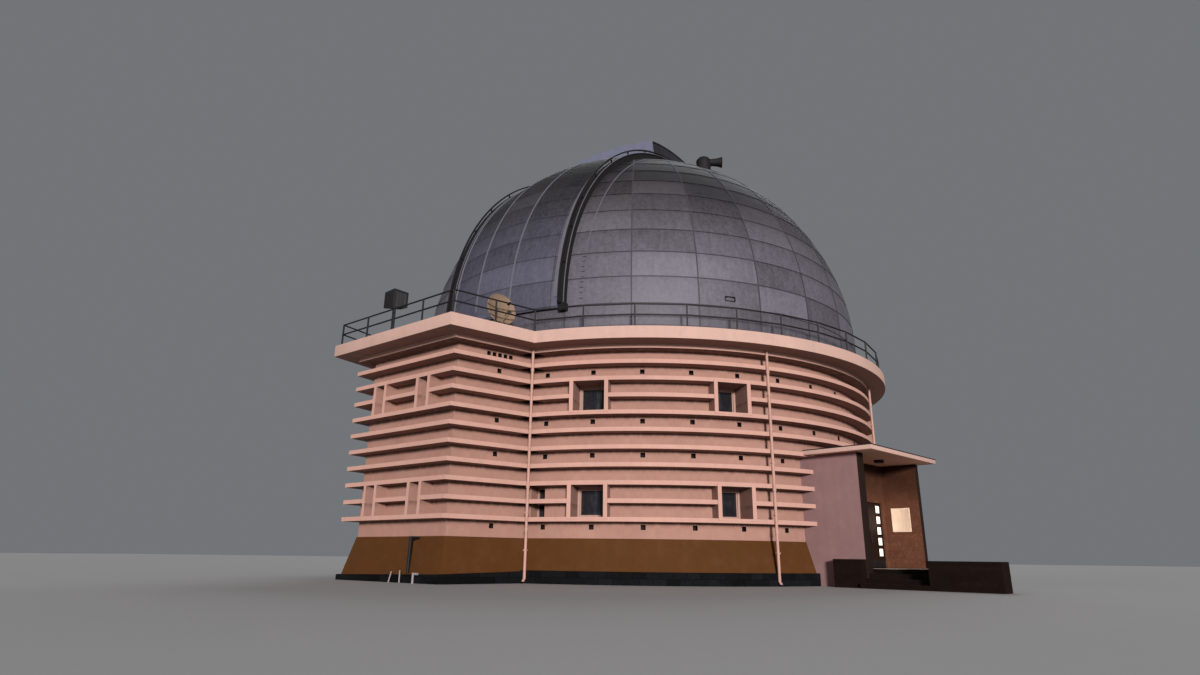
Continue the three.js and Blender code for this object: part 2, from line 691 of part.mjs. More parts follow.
// Arched girder beside the slit, with a hand rail on short posts along its back
function slitArch(near, far, seat) {
  const bodies = [arcPlate(ARCH_ROOT, ARCH_RADIUS, 0, ARCH_END, near, far, ARCH_STEPS)];
  const middle = (near + far) / 2;
  const half = ARCH_RAIL / 2;
  const rail = ARCH_RAIL_RADIUS - ARCH_RAIL;
  bodies.push(arcPlate(rail, ARCH_RAIL_RADIUS, 0, ARCH_END, middle - half, middle + half, ARCH_STEPS));
  for (let angle = 0; angle < ARCH_END; angle += ARCH_POST_STEP) {
    const root = ARCH_RADIUS - OVERRUN;
    const head = rail + OVERRUN;
    bodies.push(arcPlate(root, head, angle, angle + ARCH_POST_SPREAD, middle - half, middle + half, 1));
  }
  return union(bodies).subtract(seat);
}

// Vent cowl: a domed drum with a flared horn towards +X
function roofCowl() {
  const axis = [[0, COWL_FOOT], [COWL_RADIUS, COWL_FOOT], [COWL_RADIUS, COWL_SHOULDER]];
  const crown = [[COWL_RADIUS * 0.7, COWL_TOP - 60], [0, COWL_TOP]];
  const drum = new THREE.LatheGeometry([...axis, ...crown].map(([r, z]) => new THREE.Vector2(r, z)), 16);
  drum.rotateX(Math.PI / 2);
  const outer = [[0, 0], [HORN_ROOT_RADIUS, 0], [HORN_ROOT_RADIUS, HORN_LENGTH * 0.6]];
  const mouth = [[HORN_MOUTH_RADIUS, HORN_LENGTH], [HORN_MOUTH_RADIUS - HORN_SKIN, HORN_LENGTH]];
  const throat = [[HORN_ROOT_RADIUS - HORN_SKIN, HORN_LENGTH * 0.6], [0, HORN_LENGTH * 0.6]];
  const profile = [...outer, ...mouth, ...throat].map(([r, z]) => new THREE.Vector2(r, z));
  const horn = new THREE.LatheGeometry(profile, 16);
  horn.rotateZ(-Math.PI / 2);
  horn.translate(0, 0, HORN_AXIS);
  const [x, y] = planPoint(COWL_AZIMUTH, COWL_OUT, 0);
  drum.translate(x, y, 0);
  horn.translate(x, y, 0);
  return solid(drum).add(solid(horn));
}

// Curved strip of shutter: a crowned section turned about the level axis across the slit
function strip(inner, outer, start, end, half) {
  const across = 4;
  const rim = (radius, i) => {
    const side = -half + (2 * half * i) / across;
    return new THREE.Vector2(Math.sqrt(radius ** 2 - side ** 2), side);
  };
  const loop = [];
  for (let i = 0; i <= across; i += 1) {
    loop.push(rim(outer, i));
  }
  for (let i = across; i >= 0; i -= 1) {
    loop.push(rim(inner, i));
  }
  loop.push(loop[0]);
  const geometry = new THREE.LatheGeometry(loop, SHUTTER_FACETS);
  const { out, up, side } = slitAxes();
  const place = new THREE.Matrix4().makeBasis(up, side, out);
  place.setPosition(0, 0, DOME_CENTRE);
  geometry.applyMatrix4(place);
  const reach = half + OVERRUN;
  const sector = arcPlate(SLIT_HALF, 2 * DOME_RADIUS, start, end, -reach, reach, 8);
  return solid(geometry).intersect(sector);
}

// Pairs of guide shoes on the edges of a shutter
function shoes(angles, inner, outer) {
  const root = SHUTTER_HALF - OVERRUN;
  const tip = ARCH_INNER - GAP;
  const pairs = [];
  for (const angle of angles) {
    pairs.push(arcPlate(inner, outer, angle, angle + SHOE_SPREAD, root, tip, 1));
    pairs.push(arcPlate(inner, outer, angle, angle + SHOE_SPREAD, -tip, -root, 1));
  }
  return union(pairs);
}

function addShutters(lower, upper) {
  const leaf = strip(SHUTTER_INNER, SHUTTER_OUTER, SHUTTER_START, SHUTTER_TOP, SHUTTER_HALF);
  const leafShoes = shoes(LOWER_SHOES, LOWER_SHOE_INNER, LOWER_SHOE_OUTER);
  piece('lower_shutter', leaf.add(leafShoes), DOME_METAL, lower);
  const outer = strip(HOOD_INNER, HOOD_OUTER, HOOD_START, HOOD_END, SHUTTER_HALF);
  const start = HOOD_START + HOOD_RIM;
  const end = HOOD_END - HOOD_RIM;
  const ceiling = HOOD_OUTER - HOOD_SKIN;
  const room = strip(HOOD_INNER - 3 * HOOD_SKIN, ceiling, start, end, SHUTTER_HALF - HOOD_SKIN);
  const hoodShoes = shoes(UPPER_SHOES, UPPER_SHOE_INNER, UPPER_SHOE_OUTER);
  piece('upper_shutter', outer.subtract(room).add(hoodShoes), DOME_METAL, upper);
}

// Gallery railing: a closed run of posts round the slab edge, joined by two bars
function railLoop() {
  const outside = RAIL_RADIUS - DRUM_RADIUS;
  const start = frontCorner(outside);
  const end = rearCorner(outside);
  const from = azimuthOf(start);
  const span = azimuthOf(end) + 360 - from;
  const bays = Math.round(span / RAIL_PITCH);
  const points = [];
  for (let i = 0; i <= bays; i += 1) {
    points.push(planPoint(from + (span * i) / bays, RAIL_RADIUS, 0));
  }
  const [, rear, front] = annexOutline(outside);
  points.push(between(end, rear, 0.5));
  for (let i = 0; i <= ANNEX_RAIL_BAYS; i += 1) {
    points.push(between(rear, front, i / ANNEX_RAIL_BAYS));
  }
  points.push(between(front, start, 0.5));
  return { points, from, step: span / bays, bays };
}

function azimuthOf([x, y]) {
  return THREE.MathUtils.radToDeg(Math.atan2(x, -y));
}

function between(a, b, share) {
  return [a[0] + (b[0] - a[0]) * share, a[1] + (b[1] - a[1]) * share];
}

// Closed plan loop moved outwards by a distance, with mitred corners
function movedLoop(points, distance) {
  return points.map((at, i) => {
    const last = points[(i + points.length - 1) % points.length];
    const next = points[(i + 1) % points.length];
    const before = new THREE.Vector2(at[0] - last[0], at[1] - last[1]).normalize();
    const after = new THREE.Vector2(next[0] - at[0], next[1] - at[1]).normalize();
    const normal = new THREE.Vector2(before.y + after.y, -before.x - after.x);
    normal.multiplyScalar(distance / (1 + before.dot(after)));
    return [at[0] + normal.x, at[1] + normal.y];
  });
}

// One bar of the railing all the way round
function barRing(points, height) {
  const half = RAIL_BAR * 0.4;
  const outer = prism(movedLoop(points, half), height - half, height + half);
  return outer.subtract(prism(movedLoop(points, -half), height - 2 * half, height + 2 * half));
}

function post(at, width, bottom, top) {
  const geometry = new THREE.BoxGeometry(width, width, top - bottom);
  geometry.translate(at[0], at[1], (top + bottom) / 2);
  return solid(geometry);
}

function railing(points) {
  const top = SLAB_TOP + RAIL_TOP - RAIL_BAR / 2;
  const bodies = points.map((at) => post(at, RAIL_BAR, SLAB_TOP + GAP, top));
  bodies.push(barRing(points, top), barRing(points, SLAB_TOP + RAIL_MIDDLE));
  return union(bodies);
}

// The run is parted in the middle of a bay, so that each length keeps its own posts
function addRailings() {
  const { points, from, step, bays } = railLoop();
  const whole = railing(points);
  const bounds = [];
  for (let i = 0; i <= RAIL_PARTS; i += 1) {
    bounds.push(from + step * (Math.round((i * (bays - 1)) / RAIL_PARTS) + 0.5));
  }
  for (let i = 0; i < RAIL_PARTS; i += 1) {
    const part = whole.intersect(wedge(bounds[i], bounds[i + 1], BEYOND, SLAB_TOP, 2 * SLAB_TOP));
    piece(`gallery_railing_${i + 1}`, part, RAIL_PAINT);
  }
  const rest = wedge(bounds[RAIL_PARTS], bounds[0] + 360, BEYOND, SLAB_TOP, 2 * SLAB_TOP);
  piece('annex_railing', whole.intersect(rest), RAIL_PAINT);
}

// Plan point in the inner corner where the annex front meets the drum, at a distance off both
function frontCorner(outside) {
  const sine = Math.sin(rad(ANNEX_SPLAY));
  const cosine = Math.cos(rad(ANNEX_SPLAY));
  const distance = ANNEX_SIDE + outside + cosine * ANNEX_SHIFT;
  const along = Math.sqrt((DRUM_RADIUS + outside) ** 2 - distance ** 2);
  return planPoint(ANNEX_AZIMUTH, distance * sine + along * cosine, distance * cosine - along * sine);
}

// The same on the hidden side of the annex
function rearCorner(outside) {
  const sine = Math.sin(rad(ANNEX_SPLAY));
  const cosine = Math.cos(rad(ANNEX_SPLAY));
  const distance = ANNEX_SIDE + outside - cosine * ANNEX_SHIFT;
  const along = Math.sqrt((DRUM_RADIUS + outside) ** 2 - distance ** 2);
  return planPoint(ANNEX_AZIMUTH, distance * sine + along * cosine, along * sine - distance * cosine);
}

// Rain pipes down the wall, each standing off the ribs
function addPipes() {
  const off = FIN_REACH + PIPE_RADIUS + PIPE_STANDOFF;
  const places = [
    ['rain_pipe_left', frontCorner(off)],
    ['rain_pipe_right', planPoint(RIGHT_PIPE, DRUM_RADIUS + off, 0)],
    ['rain_pipe_far_right', planPoint(FAR_PIPE, DRUM_RADIUS + off, 0)],
  ];
  for (const [name, at] of places) {
    piece(name, pole(at, PIPE_RADIUS, PIPE_FOOT, SLAB_BOTTOM - GAP), PIPE_PAINT);
  }
}

function pole([x, y], radius, bottom, top) {
  const geometry = new THREE.CylinderGeometry(radius, radius, top - bottom, 12);
  geometry.rotateX(Math.PI / 2);
  geometry.translate(x, y, (top + bottom) / 2);
  return solid(geometry);
}

// Dish aerial: a shallow bowl on a post, with its feed arm in front
function addDish() {
  const steps = 4;
  const loop = [];
  for (let i = 0; i <= steps; i += 1) {
    const share = i / steps;
    loop.push(new THREE.Vector2(DISH_RADIUS * share, DISH_DEPTH * share ** 2));
  }
  for (let i = steps; i >= 0; i -= 1) {
    const share = i / steps;
    loop.push(new THREE.Vector2(DISH_RADIUS * share, DISH_DEPTH * share ** 2 - DISH_SKIN));
  }
  const bowl = new THREE.LatheGeometry(loop, 20);
  const arm = new THREE.Vector3(0, FEED_REACH - DISH_DEPTH, -DISH_RADIUS * FEED_ROOT);
  const feed = new THREE.CylinderGeometry(FEED_RADIUS, FEED_RADIUS, arm.length(), 8);
  feed.translate(0, arm.length() / 2, 0);
  const lean = new THREE.Quaternion().setFromUnitVectors(new THREE.Vector3(0, 1, 0), arm.clone().normalize());
  feed.applyQuaternion(lean);
  feed.translate(0, DISH_DEPTH * FEED_ROOT ** 2 - DISH_SKIN / 2, DISH_RADIUS * FEED_ROOT);
  const turn = new THREE.Matrix4().makeRotationZ(rad(DISH_AZIMUTH));
  turn.multiply(new THREE.Matrix4().makeRotationX(Math.PI - rad(DISH_TILT)));
  turn.setPosition(...DISH_PLACE, SLAB_TOP + DISH_HEIGHT);
  bowl.applyMatrix4(turn);
  feed.applyMatrix4(turn);
  const reach = 1.5 * DISH_SKIN;
  const angle = rad(DISH_AZIMUTH);
  const at = [DISH_PLACE[0] - reach * Math.sin(angle), DISH_PLACE[1] + reach * Math.cos(angle)];
  const stand = pole(at, STAND_RADIUS, SLAB_TOP + GAP, SLAB_TOP + DISH_HEIGHT);
  const plate = post(at, STAND_PLATE, SLAB_TOP + GAP, SLAB_TOP + STAND_RADIUS);
  piece('dish_antenna', union([solid(bowl), solid(feed), stand, plate]), DISH_PAINT);
}

// Floodlight on a pole inside the annex railing: a tapered box, deepest at its front edge
function addFloodlight() {
  const at = planPoint(ANNEX_AZIMUTH, LAMP_POLE_OUT, LAMP_POLE_RIGHT);
  const bottom = SLAB_TOP + LAMP_FOOT;
  const middle = bottom + LAMP_HEIGHT / 2;
  const corners = [[-410, 100, 0.8], [20, -140, 1], [460, 120, 0.75], [130, 360, 0.7]];
  const points = [];
  for (const [x, y, share] of corners) {
    const half = (share * LAMP_HEIGHT) / 2;
    points.push(new THREE.Vector3(at[0] + x, at[1] + y, middle - half));
    points.push(new THREE.Vector3(at[0] + x, at[1] + y, middle + half));
  }
  const box = solid(new ConvexGeometry(points));
  const mast = pole(at, STAND_RADIUS, SLAB_TOP + GAP, middle);
  const plate = post(at, STAND_PLATE, SLAB_TOP + GAP, SLAB_TOP + STAND_RADIUS);
  piece('floodlight', union([box, mast, plate]), DARK_METAL);
}

const domeGroup = new THREE.Group();
const lowerShutterGroup = new THREE.Group();
const upperShutterGroup = new THREE.Group();
const leftDoorGroup = new THREE.Group();
const rightDoorGroup = new THREE.Group();
model.add(domeGroup, leftDoorGroup, rightDoorGroup);
domeGroup.add(lowerShutterGroup, upperShutterGroup);

addWalls();
addGlass();
addFloors();
addPorch();
addDoors(leftDoorGroup, rightDoorGroup);
addTrack();
addDome(domeGroup);
addShutters(lowerShutterGroup, upperShutterGroup);
addRailings();
addPipes();
addDish();
addFloodlight();

export default model;
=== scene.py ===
"""Observatory dome building: the visual model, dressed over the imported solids.

Metres, +Z up, the origin on the dome axis at ground level, and -Y the front.
Azimuths are in degrees from -Y, positive towards +X. Pairs are a low and a
high end, given as out from the axis, across to the right, and height.
"""
import math

import bmesh
import bpy
from mathutils import Matrix, Vector


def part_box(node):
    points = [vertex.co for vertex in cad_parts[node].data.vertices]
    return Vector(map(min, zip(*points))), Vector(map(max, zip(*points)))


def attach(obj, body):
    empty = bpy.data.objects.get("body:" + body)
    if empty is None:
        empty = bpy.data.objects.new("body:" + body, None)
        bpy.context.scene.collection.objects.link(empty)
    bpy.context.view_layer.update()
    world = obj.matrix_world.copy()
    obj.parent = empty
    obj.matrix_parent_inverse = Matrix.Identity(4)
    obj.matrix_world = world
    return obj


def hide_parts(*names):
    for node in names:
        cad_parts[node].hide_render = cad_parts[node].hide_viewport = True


bl_info = {
    "name": "Observatory Dome Building",
    "version": (1, 0, 0),
    "blender": (4, 5, 0),
    "location": "View3D > Sidebar > Observatory",
    "description": "Builds a ribbed observatory drum with its turning dome, porch and gallery",
    "category": "Add Mesh",
}

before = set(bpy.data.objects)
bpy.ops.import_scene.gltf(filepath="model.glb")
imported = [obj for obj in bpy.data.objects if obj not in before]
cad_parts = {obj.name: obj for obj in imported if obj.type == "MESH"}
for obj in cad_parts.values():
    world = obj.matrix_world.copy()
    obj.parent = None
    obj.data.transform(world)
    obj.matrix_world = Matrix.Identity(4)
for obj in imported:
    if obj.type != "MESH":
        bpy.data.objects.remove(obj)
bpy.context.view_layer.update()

# Places shared by the pieces
GAP = 0.0004
ANNEX_AZIMUTH = -35.8
ANNEX_START = 4.0
ANNEX_END = 12.495
ANNEX_SIDE = 4.995
ANNEX_SHIFT = -0.75
ANNEX_SPLAY = math.radians(12.5)
ANNEX_FRONT_AZIMUTH = 41.7
SLAB_BOTTOM = 7.834
SLAB_TOP = 8.261
PLINTH_TOP = 0.404
PLINTH_REACH = 0.46
PLINTH_FALL = (0.566, -0.0251, 0.0234)
BAND_TOP = 1.413
BAND_FOOT = 0.33
BAND_HEAD = 0.03
LEDGE = 7.690
RIBS = range(1, 11)
FLOOR = 0.58
PORCH = 48.0
SLIT = -31.9
CENTRE = Vector((0, 0, 9.523))
GORES = 26
GORE = 360 / GORES
GORE_START = -1.35
COURSE = 5.95
COURSE_START = 5.45

# Openings in the wall
WINDOW_ROWS = ((2, 4), (8, 10))
WINDOW_AZIMUTHS = (-9.4, 18.0, 78, 104, 130, 156, 182, 208, 234, 260)
WINDOW_HALF = 0.54
NARROW_AZIMUTH = -20.2
NARROW_HALF = 0.26
SLOT_SIDES = (-1.95, 0.45)
SLOT_HALF = 0.235
SURROUND_HALF = 0.37
BOX_HALF = 0.675
BOX_EDGE = 0.07
VENT_ROWS = (6.96, 5.24, 4.10, 1.77)
VENT_START = -18.95
VENT_STEP = 9.86
VENT_DEPTH = 0.22

# Dome, shutters and arches
ARCH_ACROSS = (2.72, 2.98)
ARCH_OUT = (9.4, 9.79)
ARCH_SWEEP = 152
TRACK = (9.66, 9.9)
SHELL_FOOT = 8.42
LEAF_RADIUS = 10.12
LEAF_TOP = 78
LEAF_HALF = 2.69
LEAF_SKIN = 0.06
HOOD_RADIUS = 10.94
HOOD_FOOT = 10.16
HOOD_START = 73.5
HOOD_END = 112

WALL_NODES = [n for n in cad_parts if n.startswith(("drum_wall", "annex_")) and n.endswith(
    ("wall", "left", "right", "rear", "entrance")) and n != "annex_railing"]


# Sizes and colours that a user would change
def size(name, text, value):
    return bpy.props.FloatProperty(name=name, description=text, default=value, unit="LENGTH")


def colour(name, text, value):
    return bpy.props.FloatVectorProperty(
        name=name, description=text, default=value, subtype="COLOR", size=3, min=0, max=1)


class ObservatorySizes(bpy.types.PropertyGroup):
    drum_radius: size("Drum radius", "Outer face of the wall between the ribs", 9.86)
    wall: size("Wall", "Thickness of the concrete wall", 0.55)
    rib_reach: size("Rib reach", "How far a rib stands out of the wall", 0.475)
    rib_edge: size("Rib edge", "Height of a rib's edge", 0.14)
    rib_pitch: size("Rib pitch", "Height from one rib to the next", 0.5806)
    rib_top: size("Highest rib", "Underside of the highest whole rib", 7.156)
    slab_reach: size("Gallery reach", "How far the gallery slab stands out of the wall", 1.18)
    dome_radius: size("Dome radius", "Outside of the dome's sheets", 10.0)
    sheet_lap: size("Sheet lap", "Step where one course of sheets laps the next", 0.014)
    vent: size("Vent", "Width of the square vents in the wall", 0.16)


class ObservatoryColours(bpy.types.PropertyGroup):
    render: colour("Render", "Pink wall render between the ribs", (0.315, 0.170, 0.135))
    # A lighter copy of the render colour, which paints the light falling on the rib edges.
    edge: colour("Rib edge", "Paint on the edges of the ribs", (0.45, 0.255, 0.21))
    slab: colour("Slab", "Paint on the gallery slab", (0.45, 0.29, 0.245))
    band: colour("Band", "Ochre band above the plinth", (0.072, 0.026, 0.006))
    plinth: colour("Plinth", "Black stone plinth", (0.0042, 0.0042, 0.005))
    stone: colour("Stone", "Brown stone of the porch", (0.115, 0.045, 0.026))
    sheet: colour("Sheet", "Weathered metal of the dome", (0.088, 0.080, 0.100))
    steel: colour("Steel", "Dark painted steel", (0.016, 0.013, 0.014))
    pipe: colour("Pipe", "Paint on the rain pipes", (0.41, 0.235, 0.19))
    dish: colour("Dish", "Paint on the dish", (0.20, 0.135, 0.092))
    floor: colour("Floor", "Studio floor", (0.40, 0.39, 0.385))


# Places on the plan
def plan(azimuth, out, right=0.0, z=0.0):
    """A point out along an azimuth and to the right of it."""
    a = math.radians(azimuth)
    return Vector((out * math.sin(a) + right * math.cos(a),
                   right * math.sin(a) - out * math.cos(a), z))


def seen_from(azimuth, point):
    """How far out along an azimuth a point lies, and how far to the right of it."""
    a = math.radians(azimuth)
    return (point[0] * math.sin(a) - point[1] * math.cos(a),
            point[0] * math.cos(a) + point[1] * math.sin(a))


def azimuth_of(point):
    return math.degrees(math.atan2(point[0], -point[1]))


def around(middle_value, half):
    return middle_value - half, middle_value + half


def annex_corners(outside):
    """Plan corners of the annex at a distance outside its wall face."""
    sine, cosine = math.sin(ANNEX_SPLAY), math.cos(ANNEX_SPLAY)
    end = ANNEX_END + outside
    found = []
    for out, sign in ((ANNEX_START, -1), (end, -1), (end, 1), (ANNEX_START, 1)):
        half = (ANNEX_SIDE + outside - sine * out) / cosine
        found.append(plan(ANNEX_AZIMUTH, out, ANNEX_SHIFT + sign * half))
    return found


def reach(point, drum_radius):
    """How far a point stands outside the wall face of the drum and annex."""
    drum = math.hypot(point[0], point[1]) - drum_radius
    out, side = seen_from(ANNEX_AZIMUTH, point)
    if out <= ANNEX_START:
        return drum
    flank = math.cos(ANNEX_SPLAY) * abs(side - ANNEX_SHIFT) + math.sin(ANNEX_SPLAY) * out
    return min(drum, max(out - ANNEX_END, flank - ANNEX_SIDE))


def plinth_height(point, drum_radius):
    """Top of the plinth, which falls outwards along the annex."""
    if math.hypot(point[0], point[1]) < drum_radius + PLINTH_REACH + 0.02:
        return PLINTH_TOP
    out, side = seen_from(ANNEX_AZIMUTH, point)
    start, fall, tilt = PLINTH_FALL
    return start + fall * out + tilt * side


def rib_bottom(sizes, number):
    return sizes.rib_top - sizes.rib_pitch * (number - 1)


def opening(sizes, row):
    """Sill and top of a row of windows, between two ribs."""
    above, below = row
    return rib_bottom(sizes, below) + sizes.rib_edge, rib_bottom(sizes, above)


# Starting, shaping and finishing a piece
def select(*pieces):
    """Selects these pieces alone, with the first one active."""
    bpy.ops.object.select_all(action="DESELECT")
    for piece in pieces:
        piece.select_set(True)
    bpy.context.view_layer.objects.active = pieces[0]


def begin(name, adder, scale=(1, 1, 1), **settings):
    """Starts a piece from a primitive that is added at its size and place."""
    bpy.ops.object.select_all(action="DESELECT")
    adder(**settings)
    piece = bpy.context.object
    piece.name = piece.data.name = name
    piece.scale = scale
    bpy.ops.object.transform_apply(location=True, rotation=True, scale=True)
    return piece


class Bench:
    """A piece in edit mode, with its parts picked by place or normal."""

    KINDS = ("VERT", "EDGE", "FACE")

    def __init__(self, piece):
        self.piece = piece

    def __enter__(self):
        select(self.piece)
        bpy.ops.object.mode_set(mode="EDIT")
        return self

    def __exit__(self, *_):
        bpy.ops.object.mode_set(mode="OBJECT")

    def parts(self, kind):
        shape = bmesh.from_edit_mesh(self.piece.data)
        return (shape.verts, shape.edges, shape.faces)[self.KINDS.index(kind)]

    def pick(self, kind, test=None):
        bpy.context.tool_settings.mesh_select_mode = tuple(kind == k for k in self.KINDS)
        bpy.ops.mesh.select_all(action="DESELECT")
        found = [part for part in self.parts(kind) if test is None or test(part)]
        if not found:
            raise RuntimeError(f"nothing picked on {self.piece.name}")
        for part in found:
            part.select_set(True)
        bmesh.update_edit_mesh(self.piece.data)

    def pick_rim(self):
        """Picks the open edges."""
        self.pick("EDGE", lambda e: e.is_boundary)

    def extrude(self, by=(0, 0, 0)):
        bpy.ops.mesh.extrude_region_move(TRANSFORM_OT_translate={"value": tuple(by)})

    def inset(self, thickness, depth=0.0):
        bpy.ops.mesh.inset(thickness=thickness, depth=depth)

    def bevel(self, offset):
        self.pick("EDGE")
        bpy.ops.mesh.bevel(offset=offset, segments=2, affect="EDGES")

    def scale(self, by, about=(0, 0, 0)):
        bpy.ops.transform.resize(value=tuple(by), center_override=tuple(about))

    def shift(self, by):
        bpy.ops.transform.translate(value=tuple(by))

    def slice(self, place, normal, **settings):
        self.pick(self.KINDS[1 if not self.parts("FACE") else 2])
        bpy.ops.mesh.bisect(plane_co=tuple(place), plane_no=tuple(normal), **settings)

    def spin(self, steps, degrees, centre, axis):
        bpy.ops.mesh.spin(steps=steps, angle=math.radians(degrees), center=tuple(centre),
                          axis=tuple(axis))

    def tidy(self, gap=0.0004):
        self.pick("VERT")
        bpy.ops.mesh.remove_doubles(threshold=gap)
        self.pick("FACE")
        bpy.ops.mesh.normals_make_consistent(inside=False)


def middle(part):
    """Centre of an edge or face."""
    points = [v.co for v in part.verts]
    return sum(points, Vector()) / len(points)


def upright(part):
    return abs(part.normal.z) < 0.3


def looks_down(part):
    return part.normal.z < -0.99


def modify(piece, kind, **settings):
    """Adds a modifier and applies it."""
    select(piece)
    modifier = piece.modifiers.new(kind.title(), kind)
    for key, value in settings.items():
        setattr(modifier, key, value)
    bpy.ops.object.modifier_apply(modifier=modifier.name)
    return piece


def carve(piece, tool, operation="DIFFERENCE"):
    """Cuts or adds a tool piece, which is used up."""
    modify(piece, "BOOLEAN", operation=operation, solver="EXACT", object=tool)
    bpy.data.objects.remove(tool)
    return piece


def joined(name, pieces):
    """Several pieces made one."""
    select(*pieces)
    bpy.ops.object.join()
    pieces[0].name = pieces[0].data.name = name
    return pieces[0]


def settle(piece, turn):
    """Moves a shape to its place and leaves its object at the origin."""
    piece.matrix_world = turn
    select(piece)
    bpy.ops.object.transform_apply(location=True, rotation=True, scale=True)
    return piece


def copied(piece, turn):
    """A copy with its own mesh, turned to its place."""
    twin = piece.copy()
    twin.data = piece.data.copy()
    bpy.context.scene.collection.objects.link(twin)
    return settle(twin, turn)


def spread_out(piece, turns):
    """Copies of a piece at many turns, which use up the first one."""
    found = [copied(piece, turn) for turn in turns]
    bpy.data.objects.remove(piece)
    return found


def about(centre, degrees, axis):
    """A turn about an axis through a point."""
    return (Matrix.Translation(centre) @ Matrix.Rotation(math.radians(degrees), 4, axis)
            @ Matrix.Translation(-Vector(centre)))


def swing(piece, degrees):
    """Turns a finished shape about the dome axis to its azimuth."""
    return settle(piece, Matrix.Rotation(math.radians(degrees), 4, "Z"))


def paint(piece, finishes, choose=None):
    """Gives a piece its finishes, and each face the one that is chosen for it."""
    piece.data.materials.clear()
    for finish in finishes.split():
        piece.data.materials.append(FINISHES[finish])
    for face in piece.data.polygons:
        face.material_index = int(choose(face)) if choose else 0


def fix(piece, finishes, body, slot, *nodes, degrees=28, choose=None):
    """The last step: finishes, smooth shading, the body it moves with, what it stands for."""
    paint(piece, finishes, choose)
    select(piece)
    bpy.ops.object.shade_smooth_by_angle(angle=math.radians(degrees))
    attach(piece, body)
    if nodes:
        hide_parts(*nodes)


def dress(finish, *nodes):
    """Puts a finish on solids of the frame that stay in view."""
    for node in nodes:
        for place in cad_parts[node].material_slots:
            place.material = FINISHES[finish]


# Pieces that many operators start from
def block(name, azimuth, out, right, z, edge=0.0):
    """A rectangular piece looking along an azimuth, with its edges eased."""
    piece = begin(
        name, bpy.ops.mesh.primitive_cube_add, size=1,
        location=plan(azimuth, sum(out) / 2, sum(right) / 2, sum(z) / 2),
        rotation=(0, 0, math.radians(azimuth)),
        scale=(right[1] - right[0], out[1] - out[0], z[1] - z[0]))
    if edge:
        with Bench(piece) as bench:
            bench.bevel(edge)
    return piece


def picture_frame(name, azimuth, out, right, z, bar=0.075):
    """Bars round an opening."""
    piece = block(name, azimuth, out, right, z)
    away = plan(azimuth, 1)
    with Bench(piece) as bench:
        bench.pick("FACE", lambda f: abs(f.normal.dot(away)) > 0.99)
        bench.inset(bar)
        bpy.ops.mesh.bridge_edge_loops()
    return piece


def annex_block(name, outside, low, high):
    """The annex's plan, drawn upwards."""
    piece = block(name, ANNEX_AZIMUTH, (4, 12), (-4, 4), (low, high))
    starts = ((4, -4), (12, -4), (12, 4), (4, 4))
    with Bench(piece) as bench:
        for start, corner in zip(starts, annex_corners(outside)):
            at = plan(ANNEX_AZIMUTH, *start)
            bench.pick("VERT", lambda v: (v.co.xy - at.xy).length < 0.01)
            bench.shift((corner.x - at.x, corner.y - at.y, 0))
    return piece


def disc(name, radius, low, high, steps=240, at=(0, 0), **settings):
    """An upright cylinder."""
    return begin(name, bpy.ops.mesh.primitive_cylinder_add, vertices=steps, radius=radius,
                 depth=high - low, location=(at[0], at[1], (low + high) / 2), **settings)


def rod(name, start, end, radius, sides=20):
    """A round bar between two points."""
    along = end - start
    return begin(name, bpy.ops.mesh.primitive_cylinder_add, vertices=sides, radius=radius,
                 depth=along.length, location=(start + end) / 2,
                 rotation=along.to_track_quat("Z", "Y").to_euler())


def tube(start, end, radius):
    """A pipe with sunk ends between two points."""
    piece = rod("tube", start, end, radius)
    along = (end - start).normalized()
    with Bench(piece) as bench:
        bench.pick("FACE", lambda f: abs(f.normal.dot(along)) > 0.99)
        bench.inset(radius * 0.25, radius * -0.5)
    return piece


def ring(name, inner, outer, low, high):
    """A flat-topped ring about the dome axis."""
    piece = disc(name, outer, low, high, end_fill_type="NOTHING")
    with Bench(piece) as bench:
        bench.pick_rim()
        bench.extrude()
        bench.scale((inner / outer, inner / outer, 1))
        bench.pick_rim()
        bpy.ops.mesh.bridge_edge_loops()
        bench.tidy()
    return piece


def arc_bar(name, across, out, degrees, steps, start=0.0):
    """A bar bent about the level axis through the dome's centre, from the front upwards."""
    piece = begin(name, bpy.ops.mesh.primitive_plane_add, size=1,
                  location=(sum(across) / 2, -sum(out) / 2, CENTRE.z),
                  scale=(across[1] - across[0], out[1] - out[0], 1))
    with Bench(piece) as bench:
        bench.pick("FACE")
        bench.spin(steps, degrees, CENTRE, (1, 0, 0))
        bench.tidy()
    return settle(piece, about(CENTRE, -start, "X"))


def lathe(name, profile, at, steps=32):
    """A turned shape: a point drawn along its profile, then spun about an upright axis."""
    first = Vector((at[0] + profile[0][0], at[1], profile[0][1]))
    piece = begin(name, bpy.ops.mesh.primitive_plane_add, size=0.02, location=first)
    with Bench(piece) as bench:
        bench.pick("VERT")
        bpy.ops.mesh.merge(type="CENTER")
        for (r0, z0), (r1, z1) in zip(profile, profile[1:]):
            bench.extrude((r1 - r0, 0, z1 - z0))
        bench.pick("EDGE")
        bench.spin(steps, 360, (at[0], at[1], 0), (0, 0, 1))
        bench.tidy()
    return piece


# Shader maths written as expressions
class Value:
    """A socket that arithmetic adds Math nodes to."""

    def __init__(self, surface, socket):
        self.surface, self.socket = surface, socket

    def __add__(self, other):
        return self.surface.math("ADD", self, other)

    def __sub__(self, other):
        return self.surface.math("SUBTRACT", self, other)

    def __rsub__(self, other):
        return self.surface.math("SUBTRACT", other, self)

    def __mul__(self, other):
        return self.surface.math("MULTIPLY", self, other)

    def __truediv__(self, other):
        return self.surface.math("DIVIDE", self, other)

    __radd__, __rmul__ = __add__, __mul__


